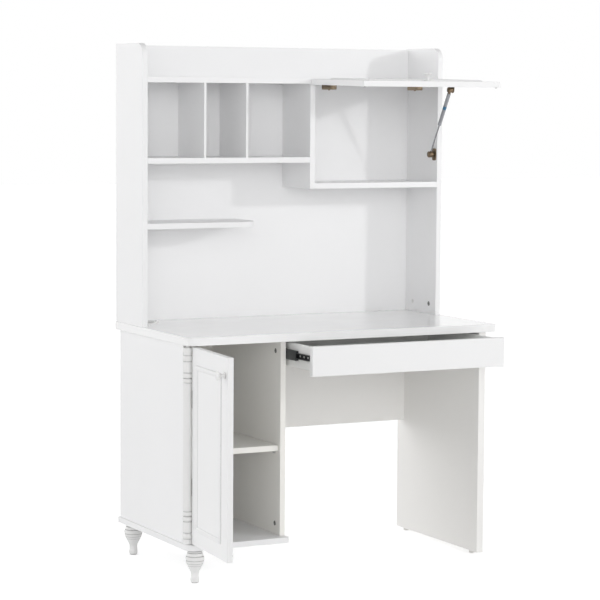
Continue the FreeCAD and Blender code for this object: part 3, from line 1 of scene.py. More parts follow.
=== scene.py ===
"""Looks of a student's desk with a hutch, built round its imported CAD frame.

Every sub-assembly is a class whose fields are its sizes in metres. Its pieces are shaped on the
bench with edit-mode operators, finished with modifiers, dressed with a finish and set to ride on
the CAD body that carries them.
"""

import json
import logging
import math
from contextlib import contextmanager
from dataclasses import dataclass
from enum import Enum
from typing import Callable, Iterator, Sequence

import bmesh
import bpy
from mathutils import Matrix, Vector

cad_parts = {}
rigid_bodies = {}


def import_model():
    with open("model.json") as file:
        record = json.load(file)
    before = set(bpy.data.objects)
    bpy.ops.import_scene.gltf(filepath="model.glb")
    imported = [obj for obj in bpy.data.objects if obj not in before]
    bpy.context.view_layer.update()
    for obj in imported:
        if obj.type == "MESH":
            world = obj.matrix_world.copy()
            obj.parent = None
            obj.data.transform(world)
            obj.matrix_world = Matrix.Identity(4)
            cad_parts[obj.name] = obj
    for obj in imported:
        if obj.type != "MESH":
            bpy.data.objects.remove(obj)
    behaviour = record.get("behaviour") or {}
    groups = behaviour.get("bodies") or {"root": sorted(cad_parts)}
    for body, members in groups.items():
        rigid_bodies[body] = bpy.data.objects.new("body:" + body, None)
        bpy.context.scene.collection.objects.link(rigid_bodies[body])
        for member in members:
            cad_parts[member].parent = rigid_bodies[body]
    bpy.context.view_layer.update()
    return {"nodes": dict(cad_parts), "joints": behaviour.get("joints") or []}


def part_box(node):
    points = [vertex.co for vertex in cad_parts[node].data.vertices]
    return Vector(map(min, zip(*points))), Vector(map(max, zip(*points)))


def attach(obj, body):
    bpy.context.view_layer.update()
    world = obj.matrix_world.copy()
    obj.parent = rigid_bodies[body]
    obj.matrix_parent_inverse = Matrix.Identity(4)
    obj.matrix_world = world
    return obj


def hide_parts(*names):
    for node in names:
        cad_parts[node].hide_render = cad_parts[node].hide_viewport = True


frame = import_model()
LOG = logging.getLogger("desk")

X_AXIS = Vector((1, 0, 0))
Y_AXIS = Vector((0, 1, 0))
Z_AXIS = Vector((0, 0, 1))
FRONT_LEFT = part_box("desktop")[0]
MERGE_DISTANCE = 1e-6
TOUCH = 1e-5  # how near an edge lies to a plane to count as on it
PARALLEL = 0.9999  # cosine above which an edge counts as parallel to an axis
LOOKING = 0.999  # cosine above which a face counts as looking in a direction
SEED = 0.01  # size of the sheet that is merged to a line's first point
ARC_STEP = 0.001  # length of arc for each of its points
FEWEST_POINTS, MOST_POINTS = 4, 14
LARGE_ARC, SMALL_ARC = 20, 8  # steps round a corner
OVERCUT = 0.01  # how far a long cutter reaches past a face
BORE_LEAD = 0.002  # how far a bore's cutter starts in front of a face
PROUD = 0.001  # how far a short cutter stands proud
THROUGH = 0.05  # length of a cutter that goes through the desktop
CREASE = 40.0  # degrees above which an edge stays sharp
FITTING_CREASE = 35.0  # the same on small fittings
FLAT_WEIGHT = 90  # how strongly large faces pull the normals
BOARD_EDGE = 0.0007  # rounding of plain boards
FITTING_EDGE = 0.0003  # rounding of metal fittings
CLOUD_SPAN, SHEEN_SPAN = (0.35, 0.65), (0.3, 0.7)  # spans of noise that clouds and sheen use
EDGE_SPAN, CREVICE_SHADE_SPAN = (0.53, 0.62), (0.30, 0.85)  # spans that count as an edge and as a hollow that gets painted shade
CREVICE_SHADE_SAMPLES = 8  # rays of the ambient occlusion that paints shade into hollows
MIX_INPUTS = (0, 6, 7)  # the share and both colours of a colour mix

Socket = bpy.types.NodeSocket
Triple = tuple[float, float, float]
Pair = tuple[float, float]
Seat = tuple[Vector, Vector]
"""A place and the direction in which the piece there faces."""
Profile = Sequence[tuple[float, ...]]
"""Steps up a turned profile: each a height, the radius at its end and any bulge outwards."""
EdgeTest = Callable[[bmesh.types.BMEdge], bool]


class Body(Enum):
    """The CAD bodies that carry the pieces."""

    DESK = "desk_and_hutch"
    DOOR = "door"
    DRAWER = "drawer"
    LEFT_SLIDE = "left_slide"
    RIGHT_SLIDE = "right_slide"
    FLAP = "flap"
    STRUT_TUBE = "strut_tube"
    STRUT_PISTON = "strut_piston"


class Element(Enum):
    """Parts of a mesh that a pick can take."""

    EDGE = "EDGE"
    FACE = "FACE"


class Joinery(Enum):
    """Ways to combine two solid pieces."""

    CARVE = "DIFFERENCE"
    WELD = "UNION"


class Sum(Enum):
    """Sums of two numbers in a node tree."""

    ADD = "ADD"
    MULTIPLY = "MULTIPLY"
    POWER = "POWER"
    LARGER = "MAXIMUM"


def at(x: float, y: float, z: float) -> Vector:
    """Turns a place measured from the desktop's front left corner and the floor into the row frame."""
    return Vector((FRONT_LEFT.x + x, FRONT_LEFT.y + y, z))


def joint(name: str) -> dict:
    """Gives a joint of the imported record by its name."""
    return next(item for item in frame["joints"] if item["name"] == name)


# --- Finishes --------------------------------------------------------------------------------
class NodeBoard:
    """A node tree under construction, with short calls for its nodes and links."""

    def __init__(self, tree: bpy.types.NodeTree) -> None:
        """Takes over a tree."""
        self.tree = tree

    def node(self, kind: str, sockets: dict | None = None, **settings: object) -> bpy.types.Node:
        """Adds a node.

        Args:
            kind: Blender's node type, without its first words.
            sockets: What goes into its inputs: sockets or plain values.
            **settings: Properties of the node.

        Returns:
            The node.
        """
        made = self.tree.nodes.new(f"ShaderNode{kind}")
        for key, value in settings.items():
            setattr(made, key, value)
        for key, value in (sockets or {}).items():
            self.feed(made.inputs[key], value)
        return made

    def feed(self, socket: Socket, value: object) -> None:
        """Fills an input.

        Args:
            socket: The input.
            value: A socket to link to it, or a plain value.
        """
        if isinstance(value, Socket):
            self.tree.links.new(value, socket)
        else:
            socket.default_value = value

    def figure(self, kind: Sum, first: object, second: object) -> Socket:
        """Works out a sum of two numbers or sockets."""
        return self.node("Math", {0: first, 1: second}, operation=kind.value).outputs[0]


class CoatSketch(NodeBoard):
    """A material under construction that ends in a Principled shader."""

    def __init__(self, name: str) -> None:
        """Starts an empty material.

        Args:
            name: Its name.
        """
        self.material = bpy.data.materials.new(name)
        self.material.use_nodes = True
        super().__init__(self.material.node_tree)
        self.shader = self.tree.nodes["Principled BSDF"]
        self.place = self.node("TexCoord").outputs["Object"]

    def coat(self, **inputs: object) -> None:
        """Feeds the shader's inputs, named with low lines for spaces."""
        for key, value in inputs.items():
            self.feed(self.shader.inputs[key.replace("_", " ")], value)

    def noise(self, scale: float, detail: float, stretch: Sequence[float] = (1, 1, 1)) -> Socket:
        """Adds a noise pattern on Object coordinates.

        Args:
            scale: Repeats in a metre.
            detail: Octaves.
            stretch: Scale of the coordinates along each axis.

        Returns:
            The noise value's socket.
        """
        mapping = self.node("Mapping", {"Vector": self.place, "Scale": stretch})
        inputs = {"Vector": mapping.outputs["Vector"], "Scale": scale, "Detail": detail}
        return self.node("TexNoise", inputs).outputs["Fac"]

    def spread(self, source: Socket, span: Pair, result: Pair = (0, 1)) -> Socket:
        """Maps a value from one range to another."""
        inputs = dict(zip(("Value", "From Min", "From Max", "To Min", "To Max"), (source, *span, *result)))
        return self.node("MapRange", inputs).outputs["Result"]

    def blend(self, share: Socket, first: object, second: object) -> Socket:
        """Mixes two colours.

        Args:
            share: How much of the second colour shows.
            first: A colour or a socket.
            second: A colour or a socket.

        Returns:
            The mixed colour's socket.
        """
        colours = [value if isinstance(value, Socket) else (*value, 1) for value in (first, second)]
        mixed = self.node("Mix", data_type="RGBA")
        for index, value in zip(MIX_INPUTS, (share, *colours)):
            self.feed(mixed.inputs[index], value)
        return mixed.outputs[2]

    def worn_edges(self, strength: float) -> Socket:
        """Gives a mask of the outward edges, where handling shows, up to a strength."""
        edges = self.spread(self.node("NewGeometry").outputs["Pointiness"], EDGE_SPAN)
        return self.spread(edges, (0, 1), (0, strength))

    def crevice_shade(self, reach: float, strength: float) -> Socket:
        """Gives a mask of painted shade, where ambient occlusion darkens grooves and inner corners, up to a
        strength.
        """
        hollow = self.node("AmbientOcclusion", {"Distance": reach}, samples=CREVICE_SHADE_SAMPLES)
        return self.spread(self.spread(hollow.outputs["AO"], CREVICE_SHADE_SPAN, (1, 0)), (0, 1), (0, strength))

    def emboss(self, height: Socket, strength: float, distance: float) -> None:
        """Puts a bump of a height pattern on the shader."""
        bump = self.node("Bump", {"Height": height, "Strength": strength, "Distance": distance})
        self.coat(Normal=bump.outputs["Normal"])


@dataclass(frozen=True)
class Coating:
    """What every finish has: two tones in soft clouds and a range of roughness."""

    name: str
    tone: Triple
    shade: Triple
    roughness: Pair

    def clouded(self, sketch: CoatSketch, pattern: Pair) -> Socket:
        """Blends the tone and the shade in clouds."""
        return sketch.blend(sketch.spread(sketch.noise(*pattern), CLOUD_SPAN), self.tone, self.shade)

    def roughened(self, sketch: CoatSketch, pattern: Socket) -> Socket:
        """Spreads a pattern over the range of roughness."""
        return sketch.spread(pattern, SHEEN_SPAN, self.roughness)


@dataclass(frozen=True)
class Lacquer(Coating):
    """Sprayed white lacquer: faint mottling, orange peel, handled edges and painted shade in the grooves.

    Attributes:
        wear: How much lighter tone shows on handled edges.
        grooves: How much painted shade, from ambient occlusion, darkens the grooves.
        clouds: Repeats in a metre and octaves of the clouds, as for the other patterns.
    """

    coat: float = 0.0
    coat_roughness: float = 0.08
    peel: float = 0.05
    wear: float = 0.5
    grooves: float = 0.0
    clouds: Pair = (3, 3)
    specks: Pair = (240, 2)
    speck_span: Pair = (0.62, 0.72)
    speck_share: float = 0.05
    speck_tone: float = 0.9
    worn_tone: float = 1.03
    lightest: float = 0.93
    groove_shade_tone: float = 0.35
    groove_reach: float = 0.006
    sheen: Pair = (14, 3)
    skin: Pair = (620, 2)
    skin_depth: float = 0.0004

    def make(self) -> bpy.types.Material:
        """Builds the material.

        Returns:
            The material.
        """
        sketch = CoatSketch(self.name)
        specks = sketch.spread(sketch.noise(*self.specks), self.speck_span, (0, self.speck_share))
        dark = tuple(self.speck_tone * part for part in self.shade)
        colour = sketch.blend(specks, self.clouded(sketch, self.clouds), dark)
        handled = tuple(min(self.lightest, self.worn_tone * part) for part in self.tone)
        colour = sketch.blend(sketch.worn_edges(self.wear), colour, handled)
        # Painted shade: ambient occlusion darkens grooves and inner corners towards a darker tone.
        if self.grooves:
            painted_groove_shade = tuple(self.groove_shade_tone * part for part in self.shade)
            colour = sketch.blend(sketch.crevice_shade(self.groove_reach, self.grooves), colour, painted_groove_shade)
        sketch.coat(Base_Color=colour, Roughness=self.roughened(sketch, sketch.noise(*self.sheen)),
                    Coat_Weight=self.coat, Coat_Roughness=self.coat_roughness)
        sketch.emboss(sketch.noise(*self.skin), self.peel, self.skin_depth)
        return sketch.material


@dataclass(frozen=True)
class Metal(Coating):
    """Plated or rolled metal: brushed streaks, cloudy plating and bright worn edges."""

    bright: Triple
    streaks: Triple = (1, 1, 1)
    grain: float = 0.15
    metallic: float = 1.0
    clouds: Pair = (70, 4)
    wear: float = 0.8
    brush: Pair = (900, 3)
    brush_depth: float = 0.0001

    def make(self) -> bpy.types.Material:
        """Builds the material.

        Returns:
            The material.
        """
        sketch = CoatSketch(self.name)
        colour = sketch.blend(sketch.worn_edges(self.wear), self.clouded(sketch, self.clouds), self.bright)
        brushed = sketch.noise(*self.brush, self.streaks)
        sketch.coat(Base_Color=colour, Metallic=self.metallic, Roughness=self.roughened(sketch, brushed))
        sketch.emboss(brushed, self.grain, self.brush_depth)
        return sketch.material


@dataclass(frozen=True)
class Plastic(Coating):
    """Moulded plastic or soft rubber: fine spark texture and slight tone drift."""

    texture: float = 0.15
    clear: float = 0.0
    clouds: Pair = (60, 3)
    sheen: Pair = (300, 2)
    spark: Pair = (1500, 2)
    spark_depth: float = 0.0001

    def make(self) -> bpy.types.Material:
        """Builds the material.

        Returns:
            The material.
        """
        sketch = CoatSketch(self.name)
        sketch.coat(Base_Color=self.clouded(sketch, self.clouds), Transmission_Weight=self.clear,
                    Roughness=self.roughened(sketch, sketch.noise(*self.sheen)))
        sketch.emboss(sketch.noise(*self.spark), self.texture, self.spark_depth)
        return sketch.material


class Finish(Enum):
    """Every finish on the desk."""

    BOARD = Lacquer("board_lacquer", (0.875, 0.875, 0.88), (0.865, 0.865, 0.87), (0.46, 0.54), 0.05, 0.2)
    TOP = Lacquer(
        "desktop_lacquer", (0.90, 0.90, 0.902), (0.895, 0.895, 0.897), (0.17, 0.185), 0.5, 0.04, 0.0012)
    # FRONT and TURNED end with the strength of the painted shade in their grooves.
    FRONT = Lacquer(
        "front_lacquer", (0.875, 0.875, 0.878), (0.868, 0.868, 0.87), (0.48, 0.56), 0.04, 0.2, 0.05, 0.5, 0.8)
    TURNED = Lacquer(
        "turned_lacquer", (0.84, 0.838, 0.833), (0.81, 0.808, 0.80), (0.30, 0.38), 0.25, 0.10, 0.08, 0.7, 0.9)
    INSIDE = Lacquer("inner_laminate", (0.88, 0.868, 0.83), (0.87, 0.858, 0.82), (0.46, 0.54), 0.0, 0.2)
    # Painted light: a lighter, warmer copy of the board lacquer that stands in for the brighter light in the
    # knee space under the desktop.
    KNEE = Lacquer("knee_space_lit_lacquer", (0.895, 0.885, 0.868), (0.885, 0.875, 0.858), (0.46, 0.54), 0.0, 0.2)
    DRAWER_BOX = Lacquer(
        "drawer_laminate", (0.88, 0.885, 0.868), (0.87, 0.875, 0.858), (0.40, 0.50), 0.0, 0.2, 0.08)
    GROMMET = Plastic("grommet_plastic", (0.84, 0.84, 0.83), (0.81, 0.81, 0.80), (0.36, 0.46))
    CAP = Plastic("cam_white_paint", (0.80, 0.80, 0.79), (0.77, 0.77, 0.76), (0.40, 0.50))
    GLIDE = Plastic("glide_nylon", (0.80, 0.79, 0.76), (0.76, 0.75, 0.72), (0.42, 0.52))
    BUMPER = Plastic("clear_bumper", (0.88, 0.88, 0.87), (0.84, 0.84, 0.83), (0.22, 0.30), 0.05, 0.5)
    LABEL = Plastic("blank_band", (0.035, 0.16, 0.29), (0.025, 0.11, 0.22), (0.30, 0.40), 0.05)
    ZINC = Metal("zinc_cam", (0.22, 0.22, 0.215), (0.15, 0.15, 0.145), (0.32, 0.48), (0.45, 0.45, 0.44))
    SLIDE = Metal(
        "slide_paint", (0.028, 0.032, 0.034), (0.018, 0.021, 0.022), (0.34, 0.46), (0.09, 0.10, 0.10),
        (0.15, 0.02, 1), 0.15, 0.35)
    SCREW = Metal("screw_plating", (0.66, 0.66, 0.65), (0.55, 0.55, 0.54), (0.22, 0.36), (0.82, 0.82, 0.81))
    NICKEL = Metal(
        "nickel_plating", (0.60, 0.58, 0.54), (0.50, 0.48, 0.44), (0.22, 0.36), (0.78, 0.76, 0.72), (1, 1, 0.1))
    BRONZE = Metal("bronze_plating", (0.25, 0.185, 0.12), (0.15, 0.11, 0.075), (0.30, 0.46), (0.52, 0.42, 0.30))
    TUBE = Metal(
        "tube_paint", (0.34, 0.35, 0.37), (0.29, 0.30, 0.32), (0.30, 0.42), (0.50, 0.51, 0.53), (1, 1, 1),
        0.1, 0.55)
    ROD = Metal(
        "chromed_rod", (0.36, 0.365, 0.38), (0.28, 0.285, 0.30), (0.10, 0.18), (0.6, 0.6, 0.6), (1, 1, 0.05),
        0.05)

    def material(self) -> bpy.types.Material:
        """Gives the finish's material, made at its first use."""
        return bpy.data.materials.get(self.value.name) or self.value.make()

    def cover(self, obj: bpy.types.Object) -> None:
        """Makes the finish an object's only material."""
        obj.data.materials.clear()
        obj.data.materials.append(self.material())


class Slot(Enum):
    """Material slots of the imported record."""

    LACQUER = "white_lacquer"
    PLASTIC = "white_plastic"
    BUMPER = "soft_bumper"
    ZINC = "zinc_fitting"
    SLIDE = "slide_steel"
    SCREW = "screw_steel"
    BRONZE = "bronze_fitting"
    TUBE = "strut_tube_grey"
    ROD = "strut_rod_steel"


# --- The bench -------------------------------------------------------------------------------
def select_only(*objects: bpy.types.Object) -> None:
    """Selects objects and nothing else.

    Args:
        *objects: The objects, the first of them to be active.
    """
    for item in bpy.context.view_layer.objects:
        item.select_set(False)
    for item in objects:
        item.select_set(True)
    bpy.context.view_layer.objects.active = objects[0]


def arc_points(start: Vector, end: Vector, bulge: float) -> list[Vector]:
    """Points on the arc from start to end in the XZ plane, without its start.

    Args:
        start: Where the arc starts.
        end: Where it ends.
        bulge: How far its middle stands out along X from the chord's middle.

    Returns:
        The points, about one for each millimetre of the arc.
    """
    if not bulge:
        return [end]
    count = max(FEWEST_POINTS, min(MOST_POINTS, round((end - start).length / ARC_STEP)))
    control = (start + end) / 2 + X_AXIS * (2 * bulge)
    shares = [(i + 1) / count for i in range(count)]
    return [start * (1 - t) ** 2 + control * (2 * t * (1 - t)) + end * t ** 2 for t in shares]


def along(axis: Vector, where: Callable[[Vector], bool] = lambda place: True) -> EdgeTest:
    """Gives the test for edges that are parallel to an axis.

    Args:
        axis: The axis.
        where: A further test of the edge's first end.

    Returns:
        The test.
    """
    def test(edge: bmesh.types.BMEdge) -> bool:
        """Tells whether an edge is taken."""
        start, end = (vertex.co for vertex in edge.verts)
        return abs((end - start).normalized().dot(axis)) > PARALLEL and where(start)
    return test


def facing(place: Vector, direction: Vector) -> Matrix:
    """Gives the matrix that carries a piece from the origin, facing up, to a place, facing a direction."""
    return Matrix.Translation(place) @ direction.to_track_quat("Z", "Y").to_matrix().to_4x4()


def swing(name: str) -> Matrix:
    """Gives the matrix that swings a closed front to its stored pose, about its joint's pins.

    Args:
        name: The joint's name.

    Returns:
        The matrix.
    """
    hinge = joint(name)
    centre = Vector(hinge["pos_m"])
    turn = Matrix.Rotation(math.radians(-hinge["range_deg"][0]), 4, Vector(hinge["axis"]))
    return Matrix.Translation(centre) @ turn @ Matrix.Translation(-centre)


class Piece:
    """A mesh piece on the bench."""

    def __init__(self, obj: bpy.types.Object) -> None:
        """Takes over an object."""
        self.obj = obj

    @contextmanager
    def editing(self, picked: bool = False) -> Iterator[None]:
        """Opens the piece in edit mode.

        Args:
            picked: Whether everything is picked at the start.

        Yields:
            Nothing.
        """
        select_only(self.obj)
        bpy.ops.object.mode_set(mode="EDIT")
        bpy.ops.mesh.select_mode(type="VERT")
        bpy.ops.mesh.select_all(action="SELECT" if picked else "DESELECT")
        yield
        bpy.ops.object.mode_set(mode="OBJECT")

    def pick(self, element: Element, test: Callable[[object], bool]) -> int:
        """Picks the elements that pass a test, in edit mode.

        Args:
            element: The kind to pick.
            test: Tells whether an element is taken.

        Returns:
            How many were picked.
        """
        bpy.ops.mesh.select_mode(type=element.value)
        bpy.ops.mesh.select_all(action="DESELECT")
        mesh = bmesh.from_edit_mesh(self.obj.data)
        items = {Element.EDGE: mesh.edges, Element.FACE: mesh.faces}[element]
        chosen = [item for item in items if test(item)]
        for item in chosen:
            item.select_set(True)
        mesh.select_flush_mode()
        bmesh.update_edit_mesh(self.obj.data)
        return len(chosen)

    def close_up(self) -> "Piece":
        """Merges doubles and turns every face outwards.

        Returns:
            The piece.
        """
        with self.editing(picked=True):
            bpy.ops.mesh.remove_doubles(threshold=MERGE_DISTANCE)
            bpy.ops.mesh.normals_make_consistent(inside=False)
        return self

    def round_edges(self, test: EdgeTest, radius: float, segments: int) -> "Piece":
        """Rounds the edges that pass a test.

        Args:
            test: Tells whether an edge is taken.
            radius: Radius of the rounding.
            segments: Steps round it.

        Returns:
            The piece.
        """
        with self.editing():
            if self.pick(Element.EDGE, test):
                bpy.ops.mesh.bevel(offset_type="OFFSET", offset=radius, segments=segments, affect="EDGES")
        return self

    def round_corner(self, x: float, y: float, radius: float, segments: int) -> "Piece":
        """Rounds the upright edge at a corner of the plan."""
        return self.round_edges(
            along(Z_AXIS, lambda place: math.hypot(place.x - x, place.y - y) < TOUCH), radius, segments)

    def step_top(self, margin: float, depth: float) -> "Piece":
        """Insets the faces that look up and raises or sinks their middle.

        Args:
            margin: Width of the rim.
            depth: How far the middle rises.

        Returns:
            The piece.
        """
        with self.editing():
            self.pick(Element.FACE, lambda face: face.normal.z > LOOKING)
            bpy.ops.mesh.inset(thickness=margin, depth=depth)
        return self

    def apply(self, kind: str, **settings: object) -> "Piece":
        """Adds a modifier and applies it.

        Args:
            kind: Blender's type of modifier.
            **settings: Its settings.

        Returns:
            The piece.
        """
        modifier = self.obj.modifiers.new(kind.lower(), kind)
        for key, value in settings.items():
            setattr(modifier, key, value)
        select_only(self.obj)
        bpy.ops.object.modifier_apply(modifier=modifier.name)
        return self

    def combine(self, way: Joinery, others: Sequence["Piece"]) -> "Piece":
        """Combines this piece with others and clears them away.

        Args:
            way: Whether they are cut out of it or united with it.
            others: The other pieces.

        Returns:
            The piece.
        """
        for other in others:
            self.apply("BOOLEAN", operation=way.value, solver="EXACT", object=other.obj)
            bpy.data.objects.remove(other.obj)
        return self

    def carve(self, *cutters: "Piece") -> "Piece":
        """Cuts pieces out of this one."""
        return self.combine(Joinery.CARVE, cutters)

    def weld(self, *others: "Piece") -> "Piece":
        """Unites pieces with this one into one skin."""
        return self.combine(Joinery.WELD, others)

    def join(self, *others: "Piece") -> "Piece":
        """Takes other pieces into this object as loose shells.

        Args:
            *others: The other pieces.

        Returns:
            The piece.
        """
        if others:
            select_only(self.obj, *[other.obj for other in others])
            bpy.ops.object.join()
        return self

    def soften(self, width: float, segments: int = 2) -> "Piece":
        """Rounds every sharp edge and keeps the flats flat.

        Args:
            width: Width of the rounding.
            segments: Steps across it.

        Returns:
            The piece.
        """
        select_only(self.obj)
        bpy.ops.object.shade_smooth()
        crease = math.radians(CREASE)
        self.apply("BEVEL", width=width, segments=segments, limit_method="ANGLE", angle_limit=crease)
        return self.close_up().evened()

    def evened(self, keep_sharp: bool = False) -> "Piece":
        """Shades large faces flat and lets the narrow ones between them carry the turn."""
        return self.apply("WEIGHTED_NORMAL", weight=FLAT_WEIGHT, keep_sharp=keep_sharp)

    def smooth(self, degrees: float = CREASE) -> "Piece":
        """Shades smoothly where faces meet at less than an angle.

        Args:
            degrees: The angle.

        Returns:
            The piece.
        """
        select_only(self.obj)
        bpy.ops.object.shade_smooth_by_angle(angle=math.radians(degrees))
        return self

    def fix_place(self) -> "Piece":
        """Moves the object's place, turn and scale into its mesh.

        Returns:
            The piece.
        """
        select_only(self.obj)
        bpy.ops.object.transform_apply(location=True, rotation=True, scale=True)
        return self

    def carried(self, matrix: Matrix) -> "Piece":
        """Carries the piece by a matrix."""
        self.obj.matrix_world = matrix @ self.obj.matrix_world
        return self.fix_place()

    def moved(self, travel: Vector) -> "Piece":
        """Moves the piece."""
        return self.carried(Matrix.Translation(travel))

    def named(self, name: str) -> "Piece":
        """Gives the piece another name."""
        self.obj.name = name
        return self

    def copied(self, name: str) -> "Piece":
        """Copies the piece with a mesh of its own.

        Args:
            name: The copy's name.

        Returns:
            The copy.
        """
        twin = self.obj.copy()
        twin.data = self.obj.data.copy()
        bpy.context.scene.collection.objects.link(twin)
        return Piece(twin).named(name)

    def reflected(self, name: str, x: float) -> "Piece":
        """Copies the piece across an upright plane.

        Args:
            name: The copy's name.
            x: Where the plane is.

        Returns:
            The copy.
        """
        twin = self.copied(name).carried(Matrix.Translation((2 * x, 0, 0)) @ Matrix.Scale(-1, 4, X_AXIS))
        with twin.editing(picked=True):
            bpy.ops.mesh.normals_make_consistent(inside=False)
        return twin

    def settled(self, body: Body, finish: Finish, slot: Slot, *nodes: str) -> "Piece":
        """Dresses the piece, sets it on its body and lets it stand for CAD nodes.

        Args:
            body: The CAD body that carries it.
            finish: Its finish.
            slot: The record's material slot; not used.
            *nodes: The CAD nodes that it stands for.

        Returns:
            The piece.
        """
        finish.cover(self.obj)
        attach(self.obj, body.value)
        if nodes:
            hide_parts(*nodes)
        LOG.info("%s rides on %s with %d faces", self.obj.name, body.value, len(self.obj.data.polygons))
        return self


def started(name: str) -> Piece:
    """Takes over the primitive that was just added and fixes its place in its mesh.

    Args:
        name: The piece's name.

    Returns:
        The piece.
    """
    obj = bpy.context.view_layer.objects.active
    obj.name = obj.data.name = name
    return Piece(obj).fix_place()


def block(name: str, low: Vector, high: Vector) -> Piece:
    """Starts from a block.

    Args:
        name: The piece's name.
        low: Its low corner.
        high: Its high corner.

    Returns:
        The block.
    """
    low, high = Vector(low), Vector(high)
    bpy.ops.mesh.primitive_cube_add(size=1, location=(low + high) / 2, scale=high - low)
    return started(name)


def rod(name: str, start: Vector, travel: Vector, radius: float, sides: int = 40) -> Piece:
    """Starts from a rod.

    Args:
        name: The piece's name.
        start: The middle of its first end.
        travel: The vector from there to its other end.
        radius: Its radius.
        sides: Its sides.

    Returns:
        The rod.
    """
    turn = travel.to_track_quat("Z", "Y").to_euler()
    bpy.ops.mesh.primitive_cylinder_add(
        vertices=sides, radius=radius, depth=travel.length, location=start + travel / 2, rotation=turn)
    return started(name)


def traced(name: str, points: Sequence[Vector]) -> Piece:
    """Draws a line through points by extruding one vertex after another.

    Args:
        name: The piece's name.
        points: The points.

    Returns:
        The line.
    """
    bpy.ops.mesh.primitive_plane_add(size=SEED, location=points[0])
    piece = started(name)
    with piece.editing(picked=True):
        bpy.ops.mesh.merge(type="CENTER")
        for here, there in zip(points, points[1:]):
            bpy.ops.mesh.extrude_region_move(TRANSFORM_OT_translate={"value": there - here})
    return piece


def turned(name: str, start_radius: float, steps: Profile, sides: int = 72) -> Piece:
    """Turns a profile about Z, upwards from the origin, closed at both ends.

    Args:
        name: The piece's name.
        start_radius: The radius at its foot.
        steps: The profile's steps.
        sides: Steps round the turning.

    Returns:
        The piece.
    """
    points = [Vector(), Vector((start_radius, 0, 0))]
    for height, radius, *bulge in steps:
        there = Vector((radius, 0, points[-1].z + height))
        points += arc_points(points[-1], there, *bulge or [0.0])
    points.append(Vector((0, 0, points[-1].z)))
    piece = traced(name, points)
    with piece.editing(picked=True):
        bpy.ops.mesh.spin(steps=sides, angle=2 * math.pi, center=(0, 0, 0), axis=(0, 0, 1))
    return piece.close_up()


def slab(name: str, outline: Sequence[Vector], travel: Vector) -> Piece:
    """Fills a closed outline and extrudes it.

    Args:
        name: The piece's name.
        outline: The outline's corners.
        travel: The vector along which it is extruded.

    Returns:
        The slab.
    """
    piece = traced(name, [*outline, outline[0]])
    with piece.editing(picked=True):
        bpy.ops.mesh.remove_doubles(threshold=MERGE_DISTANCE)
        bpy.ops.mesh.edge_face_add()
        bpy.ops.mesh.extrude_region_move(TRANSFORM_OT_translate={"value": travel})
    return piece.close_up()


def board_on(node: str, softening: float = BOARD_EDGE) -> Piece:
    """Makes a plain board with slightly rounded edges where a CAD node is."""
    return block(f"{node}_board", *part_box(node)).soften(softening)


def gathered(name: str, model: Piece, seats: Sequence[Seat]) -> Piece:
    """Copies a model to its seats, joins the copies and clears the model away.

    Args:
        name: The joined piece's name.
        model: The piece to copy, facing up at the origin.
        seats: Where the copies go.

    Returns:
        The joined piece.
    """
    copies = [model.copied(f"{name}_{i}").carried(facing(*seat)) for i, seat in enumerate(seats)]
    bpy.data.objects.remove(model.obj)
    return copies[0].join(*copies[1:]).named(name)


def wall_seats(node: str, rows: Sequence[float], heights: Sequence[float]) -> list[Seat]:
    """Gives the seats of fittings on the inner face of an upright board.

    Args:
        node: The board's CAD node.
        rows: Their distances from the desktop's front.
        heights: Their heights above the floor.

    Returns:
        The seats, row by row.
    """
    on_left = "left_side" in node
    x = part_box(node)[on_left].x - FRONT_LEFT.x
    return [(at(x, y, z), X_AXIS if on_left else -X_AXIS) for y in rows for z in heights]


# --- Small fittings --------------------------------------------------------------------------
@dataclass(frozen=True)
class CrossScrew:
    """Domed or pan screw head with a cross recess, facing up with its seat at the origin.

    Attributes:
        rim: Height of the straight rim as a share of the head's, like the dome's and the recess's.
        dome_radius: Radius of the dome's flat as a share of the head's, like the sizes after it.
    """

    radius: float
    height: float
    rim: float = 0.45
    dome: float = 0.55
    recess: float = 0.75
    dome_radius: float = 0.55
    dome_bulge: float = 0.12
    cross_reach: float = 0.62
    cross_half: float = 0.13
    sides: int = 32

    def made(self, name: str) -> Piece:
        """Builds one head.

        Args:
            name: The piece's name.

        Returns:
            The head.
        """
        dome = (self.height * self.dome, self.radius * self.dome_radius, self.radius * self.dome_bulge)
        head = turned(name, self.radius, [(self.height * self.rim, self.radius), dome], self.sides)
        reach, half = self.radius * self.cross_reach, self.radius * self.cross_half
        bottom, top = self.height - self.height * self.recess, self.height + PROUD
        for x, y in ((reach, half), (half, reach)):
            head.carve(block("recess", (-x, -y, bottom), (x, y, top)))
        return head.smooth(FITTING_CREASE)

    def placed(self, name: str, places: Sequence[Vector], direction: Vector) -> Piece:
        """Sets heads on several places, all facing in one direction."""
        return gathered(name, self.made(name), [(place, direction) for place in places])


